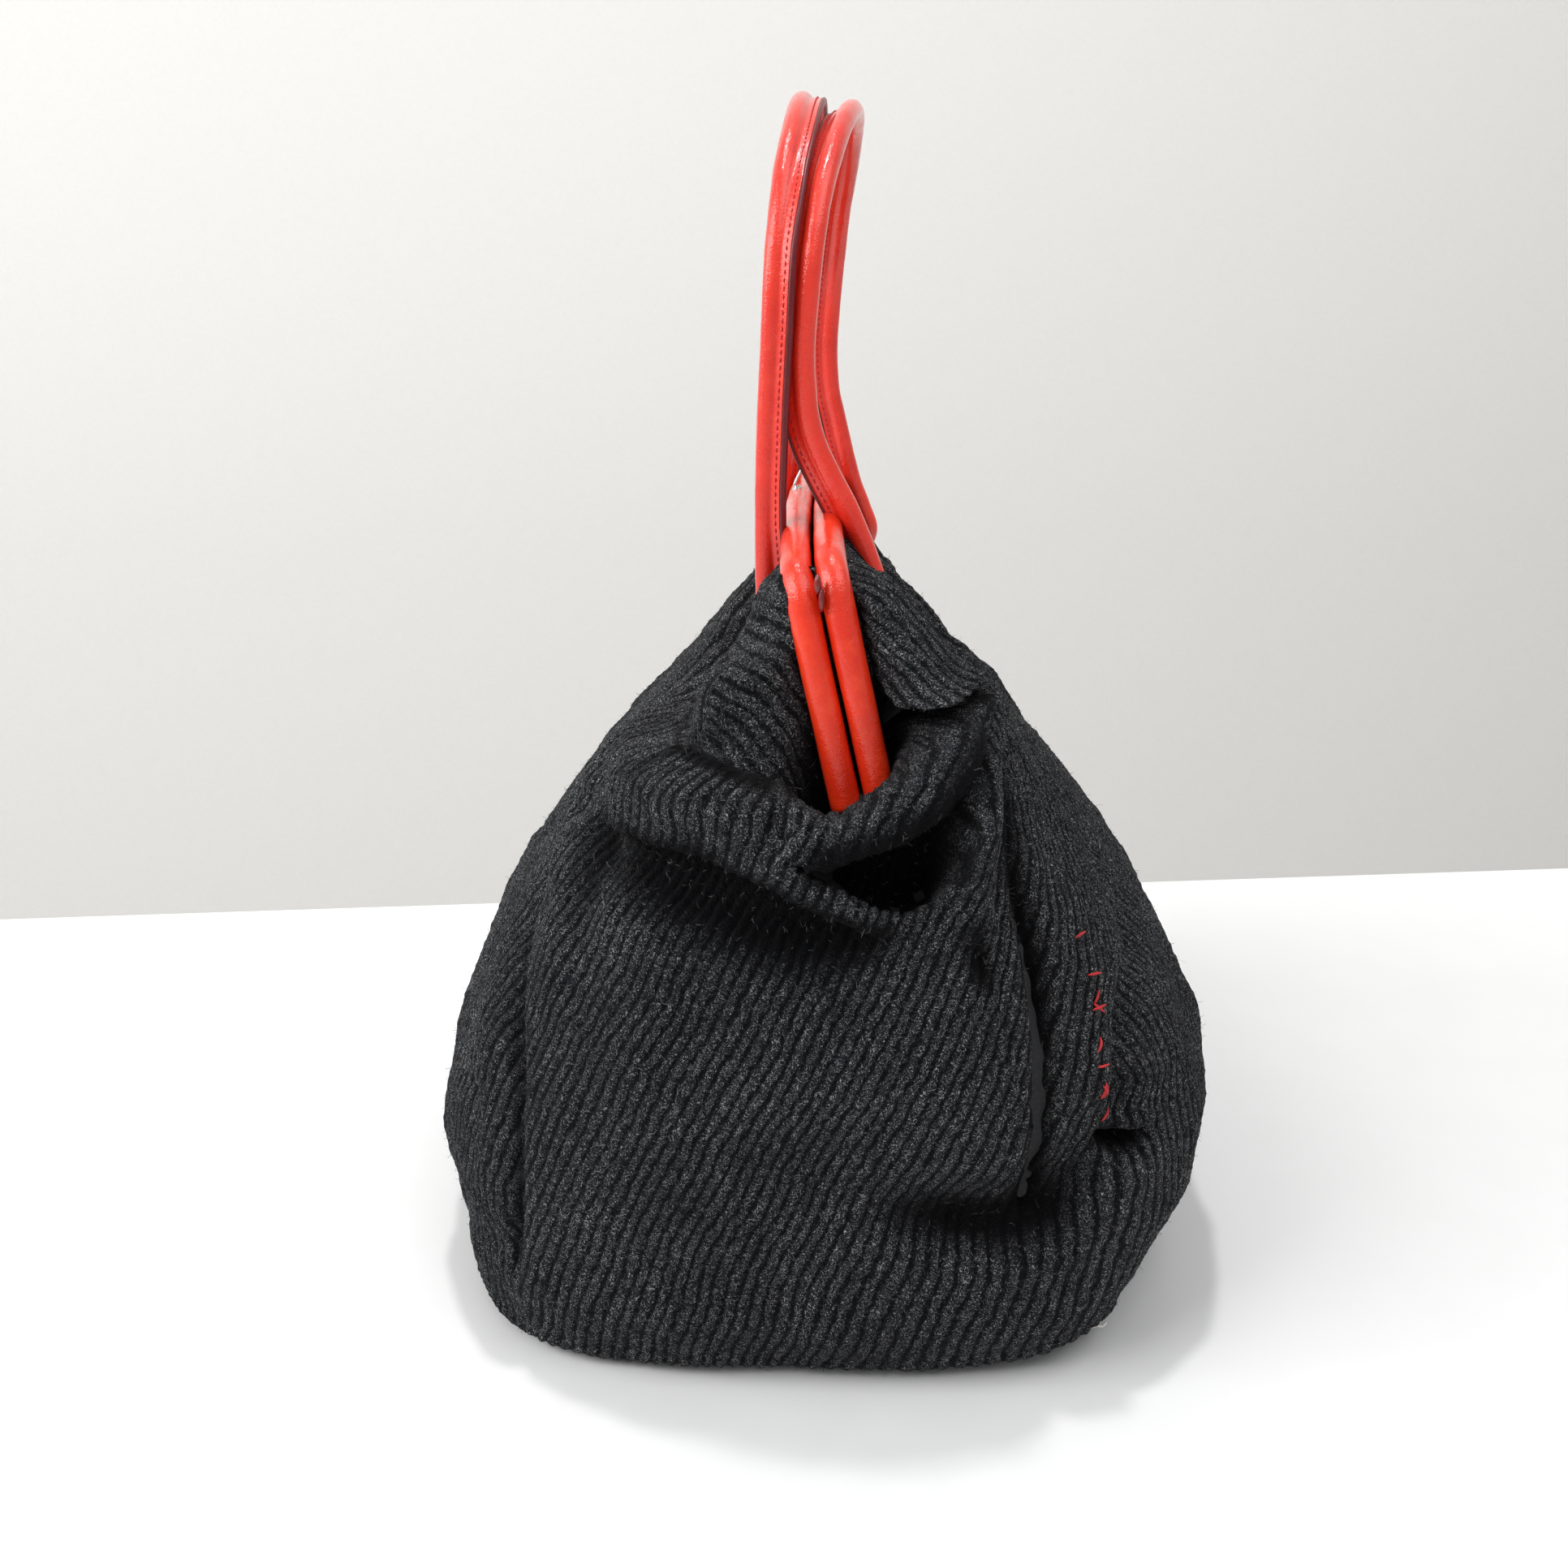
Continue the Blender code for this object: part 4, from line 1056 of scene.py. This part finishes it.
def frame_outline(start):
    half = [
        (-HINGE_HALF, start), (-HINGE_HALF + 2.6, 26.0), (-HINGE_HALF + 5.6, 52.0),
        (-FRAME_HALF + 0.2, 68.0), (-FRAME_HALF + 2.4, 74.6), (-FRAME_HALF + 6.6, 79.8),
        (-FRAME_HALF + 12.6, CORNER_RISE), (-FRAME_HALF + 21.0, CORNER_RISE + 1.3),
    ]
    for y in (-105.0, -75.0, -45.0, -20.0):
        half.append((y, FRAME_RISE - (FRAME_RISE - CORNER_RISE) * (y / FRAME_HALF) ** 2))
    return half + [(0.0, FRAME_RISE)] + [(-y, s) for y, s in reversed(half)]


def frame_tube(label, side):
    """The leather-covered tube of one frame half, a little uneven, with its seam inside."""
    flat, along = smooth_path(frame_outline(1.5), 420)
    path = frame_point(flat[:, 0], flat[:, 1], TUBE_OFFSET * side)
    inward = np.gradient(flat, axis=0)
    lead = frame_point(inward[:, 1], -inward[:, 0], 0.0) - frame_point(0.0, 0.0, 0.0)
    around = circle(40)
    swell = 1 + 0.012 * np.sin(along[:, None] / 17.0 + around * 2) + 0.008 * np.sin(
        along[:, None] / 5.3 + around * 3)
    end_round = np.minimum(along, along[-1] - along)
    swell = swell * (1 - 0.12 * np.exp(-(end_round / 0.8) ** 2))[:, None]
    seam_groove = 1 - 0.05 * np.exp(-((np.angle(np.exp(1j * around)) / .12) ** 2))
    radius = TUBE_R * swell * seam_groove
    tube = sweep(f"frame_leather_{label}", path, lead, oval(around, radius, radius),
                 FRAME_LEATHER)[0]
    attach(tube, f"frame_{label}")
    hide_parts(f"frame_sleeve_{label}")


HALVES = (("front", 1.0), ("back", -1.0))
for label, side in HALVES:
    frame_tube(label, side)


# Height and x of each handle's near leg, from the foot hidden in the cloth up to the top.
HANDLE_SHAPE = {
    "front": ((254.0, 8.0), (262.0, 14.0), (270.0, 19.5), (277.0, 20.6), (284.0, 18.0),
              (302.0, 10.8), (314.0, 4.8), (325.0, -1.8),
              (342.0, -6.6), (359.0, -7.6), (376.0, -6.6), (397.0, -4.6), (418.0, -1.8), (436.0, 2.4),
              (450.0, 6.0)),
    "back": ((240.0, -10.0), (248.0, -17.0), (256.0, -20.4), (266.0, -20.8), (287.0, -21.0),
             (314.0, -21.0), (342.0, -20.0), (370.0, -18.5), (397.0, -17.3), (423.0, -15.0),
             (441.0, -12.4), (453.0, -10.8)),
}
HANDLE_DRIFT = {"front": 0.043, "back": 0.012}
ARCH_Z = 372.0


def handle_path(label):
    table = np.array(HANDLE_SHAPE[label])
    foot, top = table[0][0], table[-1][0]
    legs = [(-HANDLE_HALF, z) for z in np.linspace(foot, ARCH_Z, 12)[:-1]]
    arch = [(-HANDLE_HALF * math.cos(a), ARCH_Z + (top - ARCH_Z) * math.sin(a) ** 0.92)
            for a in np.linspace(0.0, math.pi, 25)]
    line = np.array(legs + arch + [(-y, z) for y, z in reversed(legs)])
    x = np.interp(line[:, 1], table[:, 0], table[:, 1])
    sway = ease(296.0, 335.0, line[:, 1])
    x = x + HANDLE_DRIFT[label] * (line[:, 0] + HANDLE_HALF) * sway
    return smooth_path(np.stack([x, line[:, 0], line[:, 1]], axis=1), 520)


def handle_lead(path, turn):
    """Direction of the flange: across the bag, turned a little out of the loop."""
    inside = np.stack([
        np.zeros(len(path)), -path[:, 1], np.minimum(ARCH_Z - 20.0 - path[:, 2], 0.0)], axis=1)
    inside = unit(inside)
    return inside * np.cos(turn)[:, None] + np.array([1.0, 0, 0]) * np.sin(turn)[:, None]


def handle_section(count=30):
    """Round roll with a flat flange, as one outline; the flange is on the first axis."""
    half_thick, out = 1.3, FLANGE_OUT
    a0 = math.asin(half_thick / HANDLE_R) * 1.35
    angles = np.linspace(a0, 2 * math.pi - a0, count)
    roll = [(HANDLE_R * math.cos(a), HANDLE_R * math.sin(a)) for a in angles]
    start = HANDLE_R + 0.5
    low = [(x, -half_thick - 0.25 * (out - x) / (out - start)) for x in np.linspace(start, out, 6)]
    high = [(x, -y) for x, y in reversed(low)]
    return np.array(roll + low + high)


def stitches(name, places, directions, outward, length, radius, material, dip=0.0):
    """Short thread stitches: little capsules lying along directions."""
    verts, faces = [], []
    sides, rows = 6, 5
    for place, run_way, up in zip(places, directions, outward):
        side = np.cross(run_way, up)
        for r in range(rows):
            t = r / (rows - 1) * 2 - 1
            width = radius * math.sqrt(max(1 - 0.85 * t * t, 0.05))
            centre = place + run_way * (t * length / 2) + up * (radius * .4 - dip * t * t)
            for k in range(sides):
                a = 2 * math.pi * k / sides
                verts.append(centre + side * math.cos(a) * width + up * math.sin(a) * width)
        first = len(verts) - sides * rows
        for r in range(rows - 1):
            for k in range(sides):
                a, b = first + r * sides + k, first + r * sides + (k + 1) % sides
                faces.append((a, b, b + sides, a + sides))
        faces.append(tuple(first + k for k in range(sides))[::-1])
        faces.append(tuple(first + (rows - 1) * sides + k for k in range(sides)))
    mesh = mesh_from(name, np.array(verts), faces)
    normals_out(mesh)
    return new_object(name, mesh, material)


EDGE_STRIP = np.array((
    (-0.75, -1.45), (0.1, -1.5), (0.55, -1.0), (0.65, 0.0), (0.55, 1.0), (0.1, 1.5), (-0.75, 1.45)))
STITCH_STEP = 2.6


def handle_turn(label, path):
    """How far the flange is turned, along the path."""
    near_foot = np.clip((path[:, 2] - path[0, 2]) / 60.0, 0, 1)
    arched = ease(ARCH_Z + 10.0, path[:, 2].max() - 4.0, path[:, 2])
    return np.radians({"back": 75.0 + 55.0 * near_foot - 38.0 * arched,
                       "front": -(60.0 + 14.0 * near_foot)}[label])


def handle_seam(label, path, along, first, second):
    """The row of stitches on both faces of the flange."""
    every = np.arange(2.0, along[-1] - 2.0, STITCH_STEP)

    def sampled(line):
        return np.stack([np.interp(every, along, line[:, k]) for k in range(3)], axis=1)

    rows = []
    for face in (1.0, -1.0):
        line = path + first * (HANDLE_R + 1.9) + second * (1.45 * face)
        rows.append((sampled(line), unit(sampled(np.gradient(path, axis=0))),
                     unit(sampled(second * face))))
    places, ways, ups = (np.vstack(part) for part in zip(*rows))
    return stitches(f"handle_stitches_{label}", places, ways, ups, 2.0, 0.33, THREAD, 0.25)


def handle(label):
    """One handle: the rolled wrap with its flange, the painted edge and the stitches."""
    path, along = handle_path(label)
    lead = handle_lead(path, handle_turn(label, path))
    ripple = 1 + 0.010 * np.sin(along / 7.0) + 0.006 * np.sin(along / 2.3 + 1.0)
    section = handle_section()[None] * ripple[:, None, None]
    roll, first, second = sweep(f"handle_roll_{label}", path, lead, section, LEATHER)
    edge_line = path + first * (FLANGE_OUT + 0.6)
    edge = sweep(f"handle_edge_paint_{label}", edge_line, lead, EDGE_STRIP, EDGE)[0]
    row = handle_seam(label, path, along, first, second)
    for item in (roll, edge, row):
        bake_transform(item)
    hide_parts(f"handle_leather_{label}", f"handle_cord_{label}",
                f"handle_tab_{label}_near", f"handle_tab_{label}_far")
    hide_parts(f"handle_edge_{label}")


for label, _ in HALVES:
    handle(label)


# ---- build: hand stitches and a loose thread ----------------------------------------------------

# x, z, and the angles of the threads crossing there.
HAND_STITCHES = (
    (90.0, 168.0, (38.0,)), (95.0, 156.0, (12.0,)), (96.0, 148.0, (60.0,)),
    (96.5, 145.0, (-40.0, 25.0)), (97.0, 134.0, (48.0,)), (98.0, 127.0, (8.0,)),
    (99.0, 118.0, (62.0, -50.0)), (99.6, 115.0, (20.0,)), (101.0, 105.0, (42.0,)),
)


def on_cloth(x, z, lift):
    """A place on the near end of the cloth, and the way out of it."""
    gap = np.hypot(points[..., 0] - x, points[..., 2] - z)
    gap = gap + np.where(points[..., 1] < -110.0, 0.0, 1e6)
    spot = np.unravel_index(gap.argmin(), gap.shape)
    return points[spot] + normal[spot] * lift, normal[spot]


def hand_stitches():
    places, ways, ups = [], [], []
    for x, z, angles in HAND_STITCHES:
        for number, degrees in enumerate(angles):
            spot, up = on_cloth(x, z, 0.9 + 0.5 * number)
            a = math.radians(degrees)
            way = np.array([math.cos(a), 0.0, math.sin(a)])
            way = unit(way - up * np.dot(way, up))
            places.append(spot)
            ways.append(way)
            ups.append(up)
    item = stitches("hand_stitches", places, ways, ups, 5.6, 0.50, THREAD, 0.9)
    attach(item, "bag")


def loose_thread():
    """A short end of pale thread at the near right corner of the base."""
    spot, up = on_cloth(106.0, 11.0, 0.8)
    corners = [spot + np.array(step) for step in
               ((-2.6, -0.3, -1.4), (-1.0, -1.2, 0.2), (0.8, -1.0, -0.3), (2.6, -0.6, 1.2))]
    path, _ = smooth_path(corners, 24)
    lead = np.tile(np.array([0.0, 0.0, 1.0]), (len(path), 1))
    item = sweep("loose_thread", path, lead, oval(circle(8), 0.55, 0.45), PALE_THREAD)[0]
    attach(item, "bag")


hand_stitches()
loose_thread()


# ---- build: clasp -----------------------------------------------------------------------------

def ball(name, centre, radius, material):
    bm = bmesh.new()
    bmesh.ops.create_uvsphere(bm, u_segments=40, v_segments=24, radius=radius * MM)
    bmesh.ops.translate(bm, vec=Vector(centre) * MM, verts=bm.verts)
    mesh = bpy.data.meshes.new(name)
    bm.to_mesh(mesh)
    bm.free()
    return new_object(name, mesh, material)


def round_bar(name, corners, radii, material, sides=20):
    """A bar through corners whose radius changes evenly along it."""
    path, _ = smooth_path(corners, 40)
    r = np.interp(np.linspace(0, 1, 40), np.linspace(0, 1, len(radii)), radii)[:, None]
    lead = np.tile(np.array([0.0, 1.0, 0.0]), (len(path), 1))
    return sweep(name, path, lead, oval(circle(sides), r, r), material)[0]


def leather_tab(name, centre, size):
    """A small folded end of leather that shows between the two frame bars."""
    item = ball(name, centre, 1.0, LEATHER_DARK)
    for vertex in item.data.vertices:
        offset = vertex.co - Vector(centre) * MM
        vertex.co = Vector(centre) * MM + Vector([o * s for o, s in zip(offset, size)])
    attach(item, "frame_back")


leather_tab("end_tab_upper", (-1.2, -150.5, 288.2), (1.3, 2.0, 3.4))
leather_tab("end_tab_lower", (0.1, -151.0, 283.2), (1.1, 1.8, 4.2))

# Each ball's shift from its CAD place, and its radius, as the picture shows them.
BALLS = {"front": ((0.7, 0.0, 1.4), 2.8), "back": ((3.1, -1.0, 4.4), 3.4)}


def clasp_half(label, side):
    """A ball on its bent post, which stands on a small seat on the frame bar."""
    low, high = box_mm(f"clasp_ball_{label}")
    y = (low[1] + high[1]) / 2
    bar_top = FRAME_RISE + TUBE_R

    def above_bar(rise):
        return frame_point(y, bar_top + rise, TUBE_OFFSET * side)

    shift, radius = BALLS[label]
    centre = (low + high) / 2 + np.array(shift)
    knee = above_bar(2.2)
    head = ball(f"ball_{label}", centre, radius, NICKEL)
    neck = centre - unit(centre - knee) * 2.4
    post = round_bar(f"post_{label}", [above_bar(-1.2), knee, neck], [1.15, 1.0, 0.95, 1.0], NICKEL)
    seat = round_bar(f"seat_{label}", [above_bar(rise) for rise in (-0.7, 0.4, 1.3)],
                     [2.2, 2.1, 1.3], NICKEL, 28)
    for item in (head, post, seat):
        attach(item, f"frame_{label}")
    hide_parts(f"clasp_ball_{label}")
    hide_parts(f"clasp_post_{label}")
    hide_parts(f"clasp_seat_{label}")


for label, side in HALVES:
    clasp_half(label, side)


# ---- finish on the CAD pieces that stay visible ----------------------------------------------------

for node, material in (
    ("hinge_pin_near", STEEL), ("hinge_pin_far", STEEL), ("frame_core_front", STEEL),
    ("frame_core_back", STEEL), ("base_board", BOARD),
):
    held = frame["nodes"][node]
    held.data.materials.clear()
    held.data.materials.append(material)


# ---- stage, light, camera ------------------------------------------------------------------------

def stage_plane(name, corners, material):
    mesh = bpy.data.meshes.new(name)
    mesh.from_pydata([tuple(c) for c in corners], [], [(0, 1, 2, 3)])
    item = new_object(name, mesh, material, smooth=False)


TABLE_WHITE = plain_material("table_white", (0.86, 0.86, 0.855, 1), .45, grain=30.0, depth=.0,
                             vary=.01)
WALL_WHITE = plain_material("wall_white", (0.90, 0.885, 0.85, 1), .9, grain=180.0, depth=.0006,
                            vary=.02)
# The table ends where it meets the wall in the picture, and the wall stands back from that edge,
# so that a camera on any side of the bag has a clear view.
EDGE_LEFT, EDGE_RIGHT = Vector((-0.537, 0.250, 0)), Vector((0.528, 0.384, 0))
WALL_GAP = 1.7
along_edge = (EDGE_RIGHT - EDGE_LEFT).normalized()
from_edge = Vector((-along_edge.y, along_edge.x, 0)) * WALL_GAP
left, right = EDGE_LEFT - along_edge * 6.0, EDGE_RIGHT + along_edge * 6.0
down, up = Vector((0, 0, -2.5)), Vector((0, 0, 3.5))
stage_plane("table", [left, (-6.5, -3, 0), (6.5, -3, 0), right], TABLE_WHITE)
stage_plane("table_side", [left, right, right + down, left + down], TABLE_WHITE)
stage_plane("wall", [left + from_edge + down, right + from_edge + down,
                     right + from_edge + up, left + from_edge + up], WALL_WHITE)


def area_light(name, place, aim, size, power):
    data = bpy.data.lights.new(name, "AREA")
    data.shape = "RECTANGLE"
    data.size, data.size_y = size
    data.energy = power
    item = bpy.data.objects.new(name, data)
    bpy.context.scene.collection.objects.link(item)
    item.location = place
    item.rotation_euler = (Vector(aim) - Vector(place)).to_track_quat("-Z", "Y").to_euler()


area_light("window", (-3.5, -2.1, 3.5), (0.1, 0.1, 0.1), (3.0, 2.6), 136.0)
area_light("side", (-2.7, -0.2, 1.3), (0, 0, 0.15), (1.2, 1.2), 24.0)
area_light("ceiling", (1.2, -0.9, 2.6), (0.3, 0.0, 0.1), (2.4, 1.6), 26.0)
area_light("lamp", (-0.10, 0.14, 2.30), (0, -0.05, 0.3), (0.15, 0.15), 15.0)

bpy.context.scene.view_settings.view_transform = "Standard"
world = bpy.data.worlds.new("room")
world.use_nodes = True
world.node_tree.nodes["Background"].inputs["Color"].default_value = (0.96, 0.97, 1.0, 1.0)
world.node_tree.nodes["Background"].inputs["Strength"].default_value = 0.43
bpy.context.scene.world = world

camera_data = bpy.data.cameras.new("camera")
camera_data.sensor_width = 36.0
camera_data.lens = 34.66
camera_data.clip_end = 20.0
camera = bpy.data.objects.new("camera", camera_data)
bpy.context.scene.collection.objects.link(camera)
camera.location = (0.005, -0.646, 0.370)
camera.rotation_euler = (math.radians(90.0 - 16.9), 0.0, math.radians(2.0))
bpy.context.scene.camera = camera
